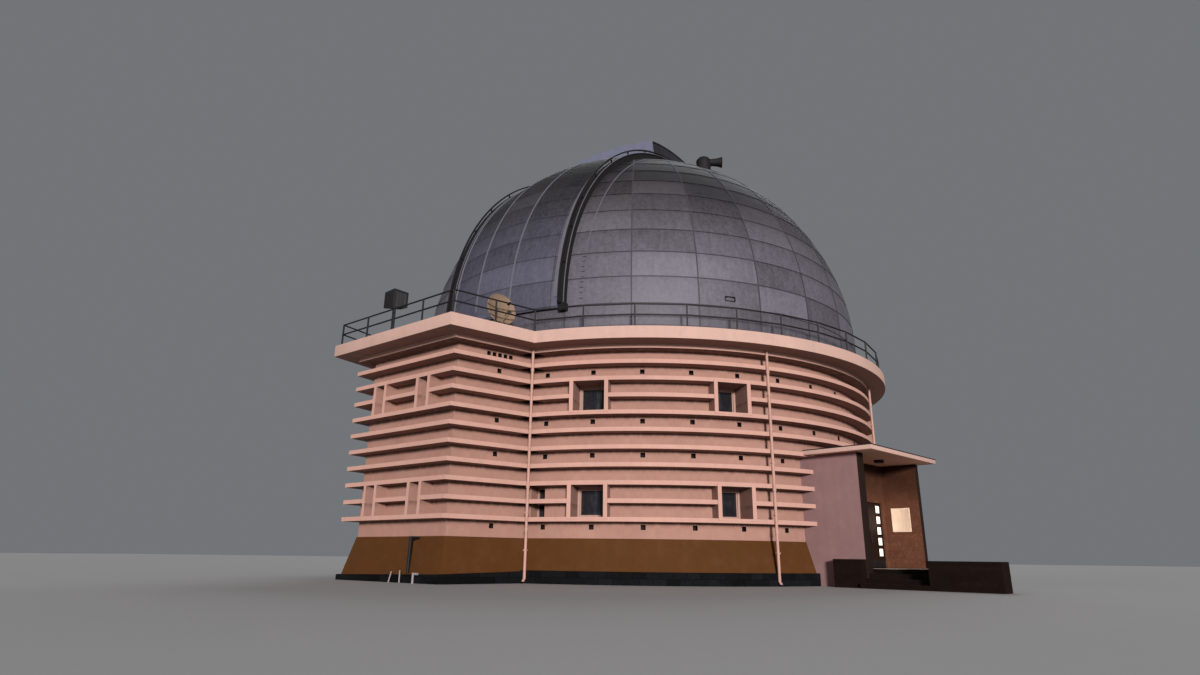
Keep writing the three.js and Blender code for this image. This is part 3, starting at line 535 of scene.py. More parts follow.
class Surface:
    """One finish: its nodes, and the shader that they feed."""

    def __init__(self, name, **constants):
        self.material = bpy.data.materials.new(name)
        self.material.use_nodes = True
        self.tree = self.material.node_tree
        self.shader = self.tree.nodes["Principled BSDF"]
        for key, value in constants.items():
            self.shader.inputs[key.replace("_", " ")].default_value = value
        self.place = self.node("ShaderNodeTexCoord", "Object")
        split = self.add("ShaderNodeSeparateXYZ", {}, {0: self.place})
        self.x, self.y, self.z = (Value(self, split.outputs[i]) for i in range(3))

    def add(self, kind, settings=None, sockets=None):
        """Any node: its settings first, then the values or links of its sockets."""
        node = self.tree.nodes.new(kind)
        for key, value in (settings or {}).items():
            setattr(node, key, value)
        for key, value in (sockets or {}).items():
            if isinstance(value, Value):
                self.tree.links.new(value.socket, node.inputs[key])
            else:
                node.inputs[key].default_value = value
        return node

    def node(self, kind, output, settings=None, sockets=None):
        """One output of a node that is added."""
        return Value(self, self.add(kind, settings, sockets).outputs[output])

    def math(self, kind, *values):
        return self.node("ShaderNodeMath", 0, {"operation": kind}, dict(enumerate(values)))

    def limit(self, value):
        return self.node("ShaderNodeClamp", 0, {}, {0: value})

    def vector(self, x, y, z=0.0):
        return self.node("ShaderNodeCombineXYZ", 0, {}, {0: x, 1: y, 2: z})

    def noise(self, scale, detail=3.0, rough=0.55, at=None):
        """Noise between 0 and 1."""
        return self.node("ShaderNodeTexNoise", "Fac", {}, {
            "Vector": at or self.place, "Scale": scale, "Detail": detail, "Roughness": rough})

    def chance(self, spot, dimensions="2D"):
        """A steady number between 0 and 1 for each cell."""
        return self.node("ShaderNodeTexWhiteNoise", "Value", {"noise_dimensions": dimensions},
                         {"W" if dimensions == "1D" else 0: spot})

    def band(self, value, low, high):
        """0 below low, 1 above high, a smooth step between."""
        return self.node("ShaderNodeMapRange", 0, {"interpolation_type": "SMOOTHSTEP"}, {
            0: value, 1: low, 2: high, 3: 0.0, 4: 1.0})

    def mix(self, share, first, second):
        return self.node("ShaderNodeMix", 2, {"data_type": "RGBA", "blend_type": "MIX"}, {
            0: share, 6: tinted(first), 7: tinted(second)})

    def shade(self, hue, amount):
        """A colour made lighter or darker by a number about 1."""
        return self.node("ShaderNodeVectorMath", 0, {"operation": "SCALE"}, {
            0: hue if isinstance(hue, Value) else tuple(hue)[:3], "Scale": amount})

    def ledge(self):
        """1 on faces that look upwards."""
        normal = self.node("ShaderNodeNewGeometry", "Normal")
        return self.band(self.node("ShaderNodeSeparateXYZ", 2, {}, {0: normal}), 0.6, 0.95)

    def feed(self, socket, value):
        self.tree.links.new(value.socket, self.shader.inputs[socket])

    def bump(self, height, distance, strength=0.5):
        self.feed("Normal", self.node("ShaderNodeBump", 0, {}, {
            "Height": height, "Distance": distance, "Strength": strength}))

    def radius(self):
        return self.math("SQRT", self.x * self.x + self.y * self.y)

    def cell_edge(self, along, width):
        """Distance to the nearest whole number along a run of cells of a width."""
        return self.math("PINGPONG", along, 0.5) * width

    def streaks(self, scale=5.0, run=0.35):
        """Marks that run down an upright face."""
        at = self.vector(self.x * scale, self.y * scale, self.z * run)
        return self.noise(1.0, 4.0, 0.6, at)


def tinted(value):
    return value if isinstance(value, Value) else (*tuple(value)[:3], 1.0)


def rendered(name, hue, sizes=None, rough=0.9, wear=1.0, painted_shade=0.0, dust=1.0):
    """Painted cement render with blotches, runs of dirt, dust on its ledges, and painted shade
    under each rib.
    """
    s = Surface(name, Roughness=rough, Specular_IOR_Level=0.12)
    blotch = s.noise(0.45, 4.0, 0.6)
    patch = s.noise(2.3, 5.0, 0.65)
    runs = s.streaks()
    grain = s.noise(46.0, 3.0, 0.7)
    tone = 1.0 + wear * ((blotch - 0.5) * 0.34 + (patch - 0.5) * 0.22 + (runs - 0.5) * 0.26
                         + (grain - 0.5) * 0.2)
    # Painted shade: darker just under each rib, broken up by the runs of dirt.
    if painted_shade and sizes:
        below = s.math("FRACT", (s.z - sizes.rib_top) / sizes.rib_pitch)
        tone = tone * (1.0 - painted_shade * s.band(below, 0.62, 0.98) * s.band(runs, 0.3, 0.62))
    base = s.shade(hue, tone)
    warm = s.mix(s.band(patch, 0.48, 0.72) * 0.25 * dust, base,
                 s.shade((0.30, 0.20, 0.165), tone))
    s.feed("Base Color", s.mix(s.ledge() * 0.55 * dust, warm,
                               s.shade((0.24, 0.185, 0.16), tone)))
    s.feed("Roughness", rough - 0.12 * runs)
    s.bump(grain * 0.6 + patch * 0.4, 0.012, 0.45)
    return s.material


def cut_stone(name, hue, course, length, spread=0.35, joints=0.2, dust=0.0, painted_shade=0.0,
              about_axis=True):
    """Stone laid in courses, with tone differences from stone to stone, and painted shade towards
    its top.
    """
    s = Surface(name, Specular_IOR_Level=0.06)
    if about_axis:
        along = s.math("ARCTAN2", s.x, 0.0 - s.y) * 10.2
    else:
        along = s.x * 1.14 + s.y * 0.44
    level = s.z / course
    row = s.math("FLOOR", level)
    shifted = along / length + row * 0.5
    stone = s.chance(s.vector(s.math("FLOOR", shifted), row))
    nearest = s.math("MINIMUM", s.cell_edge(shifted, length), s.cell_edge(level, course))
    joint = 1.0 - s.band(nearest, 0.004, 0.012)
    face = s.noise(9.0, 6.0, 0.68)
    fine = s.noise(38.0, 4.0, 0.7)
    tone = 1.0 + (stone - 0.5) * spread + (face - 0.5) * 0.8 + (fine - 0.5) * 0.5
    # Painted shade: darker towards the top, as under the porch canopy.
    tone = tone * (1.0 - painted_shade * s.band(s.z + face, 2.9, 4.4))
    base = s.shade(hue, tone)
    worn = s.mix(s.band(face, 0.52, 0.72) * 0.4, base, s.shade(hue, 1.8 * tone))
    worn = s.mix(s.ledge() * dust, worn, s.shade((0.075, 0.055, 0.042), tone))
    s.feed("Base Color", s.mix(joint * joints, worn, s.shade(hue, 0.35)))
    s.feed("Roughness", 0.92 - 0.15 * face)
    s.bump(face * 0.5 + fine * 0.3 - joint * joints, 0.012, 0.6)
    return s.material


def dome_sheets(name, hue, shutter=False):
    """Weathered sheets in gores and courses, each a little different in tone, with painted light
    low down and painted shade higher up.
    """
    s = Surface(name, Specular_IOR_Level=0.3)
    height = s.z - CENTRE.z
    if shutter:
        a = math.radians(SLIT)
        out = s.x * math.sin(a) - s.y * math.cos(a)
        across = s.x * math.cos(a) + s.y * math.sin(a)
        level = s.math("DEGREES", s.math("ARCTAN2", height, out))
        width = 1.75
        gores = (across + 1.1) / width
    else:
        turn = s.math("DEGREES", s.math("ARCTAN2", s.x, 0.0 - s.y))
        level = s.math("DEGREES", s.math("ARCTAN2", height, s.radius()))
        gores = (turn - GORE_START) / GORE
        width = s.radius() * math.radians(GORE)
    courses = (level - COURSE_START) / COURSE
    column, row = s.math("FLOOR", gores), s.math("FLOOR", courses)
    sheet = s.chance(s.vector(column, row))
    side_tone = s.chance(column + 7.3, "1D")
    seam = 1.0 - s.band(s.cell_edge(courses, math.radians(COURSE) * 10), 0.012, 0.034)
    upright_seam = 1.0 - s.band(s.cell_edge(gores, width), 0.010, 0.030)
    drift = s.noise(0.32, 4.0, 0.6)
    runs = s.noise(1.0, 5.0, 0.65, s.vector(s.x * 6.0, s.y * 6.0, s.z * 0.5))
    grain = s.noise(7.0, 6.0, 0.78)
    # Painted light and shade: lighter low down, darker higher up, less so at the crown.
    low = 1.0 - s.band(level, 6.0, 30.0)
    crown = s.band(level, 58.0, 80.0)
    tone = (0.86 + 0.22 * low + (sheet - 0.5) * 0.62 + (side_tone - 0.5) * 0.32
            + (drift - 0.5) * 0.55 + (runs - 0.5) * 0.9 + (grain - 0.5) * 1.4)
    tone = tone * (1.0 - 0.38 * s.band(level, 8.0, 30.0))
    tone = tone * (1.0 - 0.75 * s.band(level, 18.0, 50.0) * (1.0 - 0.65 * crown))
    # Each course is a little darker towards its top, under the lap of the course above.
    foot = s.math("FRACT", courses)
    tone = tone * (1.0 - 0.10 * s.band(foot, 0.7, 1.0)) * (1.0 - 0.5 * seam)
    brown = s.mix(s.band(level, 14.0, 40.0) * s.band(drift + runs * 0.4, 0.45, 0.85) * 0.5,
                  s.shade(hue, tone), s.shade((0.115, 0.092, 0.085), tone))
    s.feed("Base Color", s.mix(upright_seam * 0.6, brown, s.shade((0.034, 0.019, 0.015), tone)))
    s.feed("Metallic", 0.10 + 0.15 * runs)
    s.feed("Roughness", s.limit(0.62 + (runs - 0.5) * 0.3 + (grain - 0.5) * 0.2))
    s.bump(grain * 0.3 + runs * 0.5 + drift * 0.6 - seam * 0.5, 0.012, 0.35)
    return s.material


def painted_metal(name, hue, rough=0.5, metal=0.3, worn=(0.05, 0.03, 0.02), wear=0.35):
    """Painted metal with faded patches and rust that starts in blotches."""
    s = Surface(name, Specular_IOR_Level=0.2)
    patch = s.noise(3.2, 5.0, 0.65)
    fine = s.noise(55.0, 4.0, 0.7)
    runs = s.streaks(16.0, 1.4)
    tone = 1.0 + (patch - 0.5) * 0.4 + (fine - 0.5) * 0.3 + (runs - 0.5) * 0.3
    rust = s.band(patch * 0.6 + runs * 0.4, 0.56, 0.70) * wear
    s.feed("Base Color", s.mix(rust, s.shade(hue, tone), s.shade(worn, tone)))
    s.feed("Metallic", s.limit(metal - rust * 0.3))
    s.feed("Roughness", s.limit(rough + rust * 0.3 + (fine - 0.5) * 0.2))
    s.bump(fine * 0.4 + patch * 0.6, 0.003, 0.35)
    return s.material


def glazing(name, hue, rough=0.12):
    """Dark glass with a film of dust in patches and runs."""
    s = Surface(name, IOR=1.5, Specular_IOR_Level=0.35)
    dust = s.noise(4.0, 5.0, 0.6)
    runs = s.streaks(9.0, 0.8)
    s.feed("Base Color", s.mix(s.band(dust * 0.6 + runs * 0.4, 0.45, 0.75) * 0.5, hue,
                               (0.045, 0.045, 0.05)))
    s.feed("Roughness", s.limit(rough + 0.2 * s.band(runs, 0.4, 0.7)))
    s.bump(dust, 0.002, 0.1)
    return s.material


def lit_pane(name):
    """Patterned door glass with warm light behind it."""
    s = Surface(name, Roughness=0.25, Emission_Strength=1.6)
    ripple = s.noise(24.0, 3.0, 0.6)
    s.feed("Base Color", s.shade((0.75, 0.62, 0.48), 0.8 + 0.4 * ripple))
    s.feed("Emission Color", s.shade((1.0, 0.84, 0.68), 0.75 + 0.5 * ripple))
    s.bump(ripple, 0.003, 0.4)
    return s.material


def studio_floor(name, hue):
    """Pale even floor with the faintest cloudiness."""
    s = Surface(name, Roughness=0.85, Specular_IOR_Level=0.2)
    drift = s.noise(0.12, 3.0, 0.5)
    fine = s.noise(6.0, 4.0, 0.6)
    s.feed("Base Color", s.shade(hue, 1.0 + (drift - 0.5) * 0.06 + (fine - 0.5) * 0.03))
    s.bump(fine, 0.004, 0.1)
    return s.material


FINISHES = {}


class ObservatoryStep(bpy.types.Operator):
    """A step that builds pieces of the observatory."""
    bl_options = {"REGISTER", "UNDO"}

    def execute(self, context):
        self.build(context.scene.observatory_sizes, context.scene.observatory_colours)
        return {"FINISHED"}


class OBSERVATORY_OT_finishes(ObservatoryStep):
    """Mixes the finishes that the pieces are painted with"""
    bl_idname = "observatory.finishes"
    bl_label = "Finishes"

    def build(self, sizes, colours):
        FINISHES.update(
            # Wall render: painted shade under each rib.
            render=rendered("wall_render", colours.render, sizes, painted_shade=0.45),
            # Rib edges: a lighter copy of the render, as painted highlight.
            edge=rendered("rib_edge_painted_highlight", colours.edge, wear=0.8),
            slab=rendered("gallery_slab_paint", colours.slab, rough=0.8, wear=0.7),
            soffit=rendered("soffit_paint", colours.render, wear=0.8),
            # Canopy underside: cream paint made bright as painted lamplight from below.
            ceiling=rendered("canopy_cream_painted_lamplight", (0.80, 0.46, 0.33), wear=0.6, dust=0.0),
            porch=rendered("porch_render", (0.22, 0.125, 0.125), wear=0.9, dust=0.3),
            porch_end=rendered("porch_end_paint", (0.013, 0.0062, 0.0045), wear=0.8, dust=0.0),
            room=rendered("room_plaster", (0.30, 0.27, 0.25), wear=0.7),
            band=rendered("ochre_band_paint", colours.band, rough=0.85, wear=0.8, dust=0.1),
            hollow=rendered("vent_shadow_paint", (0.012, 0.009, 0.008), wear=0.8, dust=0.0),
            floor=rendered("screed_floor", (0.20, 0.19, 0.18)),
            plinth=cut_stone("plinth_stone", colours.plinth, 0.2, 0.42, spread=0.9, joints=0.7),
            # Porch stone: painted shade towards the top, under the canopy.
            stone=cut_stone("porch_stone", colours.stone, 0.30, 0.42, spread=0.2, painted_shade=0.6,
                            about_axis=False),
            dark_stone=cut_stone("step_stone", (0.0085, 0.0044, 0.0032), 0.145, 0.6, dust=0.5,
                                 about_axis=False),
            paving=cut_stone("landing_stone", (0.46, 0.35, 0.28), 0.5, 0.6, spread=0.15),
            sheet=dome_sheets("dome_sheet_metal", colours.sheet),
            shutter=dome_sheets("shutter_sheet_metal", (0.062, 0.060, 0.084), shutter=True),
            batten=painted_metal("batten_metal", (0.048, 0.043, 0.050), 0.6, 0.1),
            flashing=painted_metal("pale_flashing", (0.125, 0.122, 0.145), 0.55, 0.1, wear=0.15),
            hood=painted_metal("hood_front_metal", (0.15, 0.155, 0.225), 0.6, 0.1, wear=0.1),
            steel=painted_metal("dark_steel_paint", colours.steel, 0.55, 0.3),
            arch=painted_metal("arch_steel_paint", (0.009, 0.008, 0.0085), 0.7, 0.0, wear=0.1),
            railing=painted_metal("railing_black_paint", (0.009, 0.008, 0.0085), 0.6, 0.1,
                                  wear=0.2),
            pipe=painted_metal("rain_pipe_paint", colours.pipe, 0.6, 0.0, wear=0.2),
            standpipe=painted_metal("standpipe_grey", (0.24, 0.20, 0.205), 0.6, 0.0, wear=0.2),
            dish=painted_metal("dish_cream_paint", colours.dish, 0.6, 0.0, wear=0.25),
            brass=painted_metal("plaque_pale_brass", (0.86, 0.62, 0.46), 0.45, 0.1, wear=0.12),
            frame=painted_metal("window_frame_paint", (0.33, 0.20, 0.165), 0.6, 0.0, wear=0.3),
            # Door: dark brown paint, halved as painted shade.
            door=painted_metal("door_brown_painted_shade", (0.016, 0.008, 0.006), 0.45, 0.15, wear=0.15),
            glass=glazing("dark_window_glass", (0.010, 0.010, 0.013)),
            lens=glazing("lamp_glass", (0.014, 0.013, 0.015), 0.35),
            lit=lit_pane("lit_door_glass"),
            studio=studio_floor("studio_floor", colours.floor),
        )


class OBSERVATORY_OT_walls(ObservatoryStep):
    """Builds the ribbed wall of the drum and annex, hollow, with its window boxes and vents"""
    bl_idname = "observatory.walls"
    bl_label = "Ribbed wall"

    def levels(self, sizes):
        found = [BAND_TOP, LEDGE]
        for number in RIBS:
            low = rib_bottom(sizes, number)
            found += [low, low + sizes.rib_edge]
        return found

    def ribbed(self, sizes, z):
        return z > LEDGE or any(0 < z - rib_bottom(sizes, n) < sizes.rib_edge for n in RIBS)

    def terraces(self, bench, sizes, widen, outside):
        """Ribs, band and plinth, each drawn out of an upright wall and widened."""
        def ribs(face):
            return upright(face) and self.ribbed(sizes, middle(face).z)

        def head(vert):
            return abs(vert.co.z - BAND_TOP) < 0.001 and outside(vert.co) > 0.1

        for kind, test, start, end in (
                ("FACE", ribs, 0, sizes.rib_reach),
                ("FACE", lambda f: upright(f) and middle(f).z < BAND_TOP, 0, BAND_FOOT),
                ("VERT", head, BAND_FOOT, BAND_HEAD),
                ("FACE", lambda f: upright(f) and middle(f).z < PLINTH_TOP,
                 BAND_FOOT, PLINTH_REACH)):
            bench.pick(kind, test)
            if kind == "FACE":
                bench.extrude()
            widen(bench, start, end)

    def drum(self, sizes):
        radius = sizes.drum_radius

        def widen(bench, start, end):
            grow = (radius + end) / (radius + start)
            bench.scale((grow, grow, 1))

        piece = disc("ribbed_wall", radius, 0, SLAB_BOTTOM - GAP)
        with Bench(piece) as bench:
            for z in [PLINTH_TOP] + self.levels(sizes):
                bench.slice((0, 0, z), (0, 0, 1))
            self.terraces(bench, sizes, widen, lambda at: at.xy.length - radius)
        return piece

    def annex(self, sizes):
        def widen(bench, start, end):
            held = {v.index for v in bench.parts("VERT") if v.select}
            for old, new in zip(annex_corners(start), annex_corners(end)):
                bench.pick("VERT", lambda v: v.index in held and (v.co.xy - old.xy).length < 0.02)
                bench.shift((new.x - old.x, new.y - old.y, 0))

        piece = annex_block("annex_wall_body", 0, 0, SLAB_BOTTOM - GAP)
        out, right = plan(ANNEX_AZIMUTH, 1), plan(ANNEX_AZIMUTH, 0, 1)
        start, fall, tilt = PLINTH_FALL
        with Bench(piece) as bench:
            bench.slice((0, 0, start), Vector((0, 0, 1)) - fall * out - tilt * right)
            for z in self.levels(sizes):
                bench.slice((0, 0, z), (0, 0, 1))
            self.terraces(bench, sizes, widen, lambda at: reach(at, ANNEX_START))
        return piece

    def windows(self, sizes):
        """Window boxes to add, and the holes to cut: windows, vents and the doorway."""
        radius = sizes.drum_radius
        through = around(radius, 1)
        boxes, holes = [], []
        for row in WINDOW_ROWS:
            sill, top = opening(sizes, row)
            for azimuth in WINDOW_AZIMUTHS:
                boxes.append(block("box", azimuth, (radius - 0.3, radius + sizes.rib_reach),
                                   around(0, BOX_HALF), (sill - BOX_EDGE, top + BOX_EDGE)))
                holes.append(block("hole", azimuth, through, around(0, WINDOW_HALF), (sill, top)))
        holes.append(block("hole", NARROW_AZIMUTH, (radius - 1, radius + 0.001),
                           around(0, NARROW_HALF), (sill, top)))
        holes.append(block("hole", PORCH, (8, 10.5), (-0.45, 2.2), (FLOOR, 3.1)))
        half = sizes.vent / 2
        for z in VENT_ROWS:
            for step in range(34):
                azimuth = VENT_START + VENT_STEP * step
                if azimuth > 296 or (33 < azimuth < 61 and z < 4.5):
                    continue
                holes.append(self.vent(azimuth, radius, 0, z, half))
            holes.append(self.annex_vent(half, 1.62, z))
        for step in range(5):
            holes.append(self.annex_vent(half * 0.9, 1.17 + 0.22 * step, 7.52))
        return joined("boxes", boxes), joined("holes", holes)

    def vent(self, azimuth, out, right, z, half):
        return block("vent", azimuth, (out - VENT_DEPTH, out + 0.1), around(right, half),
                     around(z, half))

    def annex_vent(self, half, along, z):
        """A vent in the annex's long side, at a distance along it from its front corner."""
        out, right = seen_from(ANNEX_FRONT_AZIMUTH, annex_corners(0)[2])
        return self.vent(ANNEX_FRONT_AZIMUTH, out, right + along, z, half)

    def slots(self, annex, sizes):
        """Tall slots in the annex end, each with its raised surround."""
        for row in WINDOW_ROWS:
            sill, top = opening(sizes, row)
            for side in SLOT_SIDES:
                carve(annex, block("surround", ANNEX_AZIMUTH,
                                   (ANNEX_END - 0.3, ANNEX_END + sizes.rib_reach),
                                   around(side, SURROUND_HALF),
                                   (sill - BOX_EDGE, top + BOX_EDGE)), "UNION")
                carve(annex, block("slot", ANNEX_AZIMUTH, around(ANNEX_END, 0.9),
                                   around(side, SLOT_HALF), (sill + 0.001, top - 0.001)))
        return annex

    def build(self, sizes, colours):
        radius, wall = sizes.drum_radius, sizes.wall
        inside = (-0.02, SLAB_BOTTOM + 0.02)
        piece = carve(self.drum(sizes), self.slots(self.annex(sizes), sizes), "UNION")
        carve(piece, disc("room", radius - wall, *inside))
        carve(piece, annex_block("annex_room", -wall, *inside))
        boxes, holes = self.windows(sizes)
        carve(piece, boxes, "UNION")
        porch = block("porch_room", PORCH, (8, 16), (-2.2004, 2.5004), (-0.02, 4.4308))
        carve(porch, disc("core", radius, -0.04, SLAB_BOTTOM))
        carve(piece, porch)
        carve(piece, holes)

        def choose(face):
            at = face.center
            out = reach(at, radius)
            if out < -wall + 0.02:
                return 4
            if out < -0.004 and face.area < 0.08 and at.z > BAND_TOP:
                return 5
            if at.z < plinth_height(at, radius) + 0.004:
                return 3
            if at.z < BAND_TOP + 0.004 and out > -0.01:
                return 2
            # Slot 1 holds the rib edges, which get the lighter painted-highlight finish.
            return upright(face) and out > sizes.rib_reach - 0.03

        fix(piece, "render edge band plinth room hollow", "building", "ribbed_render",
            *WALL_NODES, degrees=12, choose=choose)


class OBSERVATORY_OT_gallery(ObservatoryStep):
    """Builds the gallery slab and the dome's track, and dresses the railing and floors"""
    bl_idname = "observatory.gallery"
    bl_label = "Gallery"

    def build(self, sizes, colours):
        slab = disc("gallery_deck", sizes.drum_radius + sizes.slab_reach, SLAB_BOTTOM, SLAB_TOP)
        carve(slab, annex_block("deck_end", sizes.slab_reach, SLAB_BOTTOM, SLAB_TOP), "UNION")
        modify(slab, "BEVEL", width=0.015, segments=2, limit_method="ANGLE",
               angle_limit=math.radians(40))
        fix(slab, "slab soffit", "building", "slab_render", "gallery_slab", degrees=20,
            choose=lambda f: f.normal.z < -0.9)
        track = ring("dome_track_ring", *TRACK, SLAB_TOP + GAP, 8.3296)
        with Bench(track) as bench:
            bench.pick("FACE", lambda f: f.normal.z > 0.9)
            bench.inset(0.06)
            bench.shift((0, 0, -0.02))
        fix(track, "steel", "building", "dark_steel", "dome_track", degrees=20)
        dress("railing", *[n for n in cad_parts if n.endswith("railing")
                           or n.startswith("gallery_railing")])
        dress("floor", "ground_floor", "upper_floor")


class OBSERVATORY_OT_dome(ObservatoryStep):
    """Builds the dome shell with its laps and battens, the base ring and the arches"""
    bl_idname = "observatory.dome"
    bl_label = "Dome"

    def slit(self):
        """The block that opens the slit, past the top of the dome."""
        low, far = CENTRE.z + 0.05, CENTRE.z + 12
        piece = block("slit_tool", 0, (0, 12), (-2.55, 2.55), (low, far))
        with Bench(piece) as bench:
            bench.pick("VERT", lambda v: v.co.y > -1 and v.co.z > 12)
            bench.shift((0, 3.9, 0))
        return swing(piece, SLIT)

    def shell(self, sizes):
        radius, lap = sizes.dome_radius, sizes.sheet_lap
        profile = [(0.0, CENTRE.z + radius - lap)]
        high = 90.0
        for course in range(13, -2, -1):
            low = COURSE_START + COURSE * course
            for step in range(0 if high < 90 else 1, 4):
                share = step / 3
                a = math.radians(high + (low - high) * share)
                r = radius - lap * (1 - share)
                profile.append((r * math.cos(a), CENTRE.z + r * math.sin(a)))
            high = low
        profile += [(radius - lap, profile[-1][1]), (radius, SHELL_FOOT)]
        piece = lathe("dome_shell", profile, (0, 0), steps=GORES * 9)
        modify(piece, "SOLIDIFY", thickness=0.1, offset=-1.0)
        carve(piece, self.slit())
        fix(piece, "sheet", "turning_dome", "dome_sheet", "dome_shell_front",
            "dome_shell_rear_right", "dome_shell_rear_left", "dome_shell_left", degrees=20)

    def battens(self, sizes):
        radius = sizes.dome_radius
        one = arc_bar("batten", around(0, 0.022), (radius - 0.03, radius + 0.008), 88, 44)
        with Bench(one) as bench:
            bench.pick("FACE", lambda f: f.normal.z < -0.9 and middle(f).z < CENTRE.z + 0.01)
            bench.extrude((0, 0, SHELL_FOOT + 0.004 - CENTRE.z))
        azimuths = [GORE_START + GORE * step for step in range(GORES)]
        run = spread_out(one, [Matrix.Rotation(math.radians(azimuth), 4, "Z")
                               for azimuth in azimuths
                               if abs((azimuth - SLIT + 180) % 360 - 180) >= 17])
        piece = joined("dome_battens", run)
        carve(piece, self.slit())
        fix(piece, "batten", "turning_dome", "dome_sheet", degrees=30)

    def arch(self, sign, name, node):
        """One arch with the rail that stands on it, and the pale strips along its edges."""
        bar = arc_bar(name, sorted(sign * x for x in ARCH_ACROSS), ARCH_OUT, ARCH_SWEEP, 76)
        with Bench(bar) as bench:
            for side in (1, -1):
                bench.pick("FACE", lambda f: f.normal.x * side > 0.95)
                bench.inset(0.04, -0.05)
            bench.pick("FACE", lambda f: f.normal.z < -0.9 and middle(f).y < -9
                       and middle(f).z < CENTRE.z + 0.01)
            bench.extrude((0, 0, -0.28))
        rail = arc_bar("rail", around(sign * 2.85, 0.03), (9.92, 9.98), ARCH_SWEEP, 76)
        post = block("post", 0, (9.76, 9.94), around(sign * 2.85, 0.025),
                     around(CENTRE.z, 0.025))
        posts = spread_out(post, [about(CENTRE, -9.5 * step, "X") for step in range(17)])
        piece = swing(joined(name, [bar, rail] + posts), SLIT)
        fix(piece, "arch", "turning_dome", "dark_steel", node, degrees=25)
        pipes = [arc_bar("pipe", around(at, 0.014), (9.788, 9.812), 146, 76)
                 for at in (sign * 2.735, sign * 2.962)]
        if sign > 0:
            pipes.append(arc_bar("pipe", (3.46, 3.49), (9.37, 9.4), 48, 30, 12))
            clip = block("clip", 0, (9.36, 9.425), (3.30, 3.49), (CENTRE.z, CENTRE.z + 0.04))
            pipes += spread_out(clip, [about(CENTRE, -1 - 1.3 * step, "X") for step in range(9)])
        piece = swing(joined(name + "_pipes", pipes), SLIT)
        fix(piece, "flashing", "turning_dome", "dark_steel", degrees=25)

    def base(self):
        wheels = [block("wheel_box", 24 * (step + 0.5), (9.72, 9.84), (-0.2, 0.2),
                        (8.33, 8.372), 0.006) for step in range(15)]
        piece = joined("dome_base", [ring("base_ring", *TRACK, 8.37, 8.4196)] + wheels)
        fix(piece, "steel", "turning_dome", "dark_steel", "dome_base_ring", degrees=25)

    def grille(self):
        azimuth = 19.25
        piece = block("dome_grille", azimuth, (9.94, 10.03), (-0.20, 0.20), (9.66, 9.84), 0.008)
        with Bench(piece) as bench:
            bench.pick("FACE", lambda f: f.normal.dot(plan(azimuth, 1)) > 0.99
                       and middle(f).xy.length > 10)
            bench.inset(0.03, -0.04)
        fix(piece, "steel", "turning_dome", "dark_steel")

    def build(self, sizes, colours):
        self.shell(sizes)
        self.battens(sizes)
        self.arch(-1, "arch_left", "slit_arch_left")
        self.arch(1, "arch_right", "slit_arch_right")
        self.base()
        self.grille()


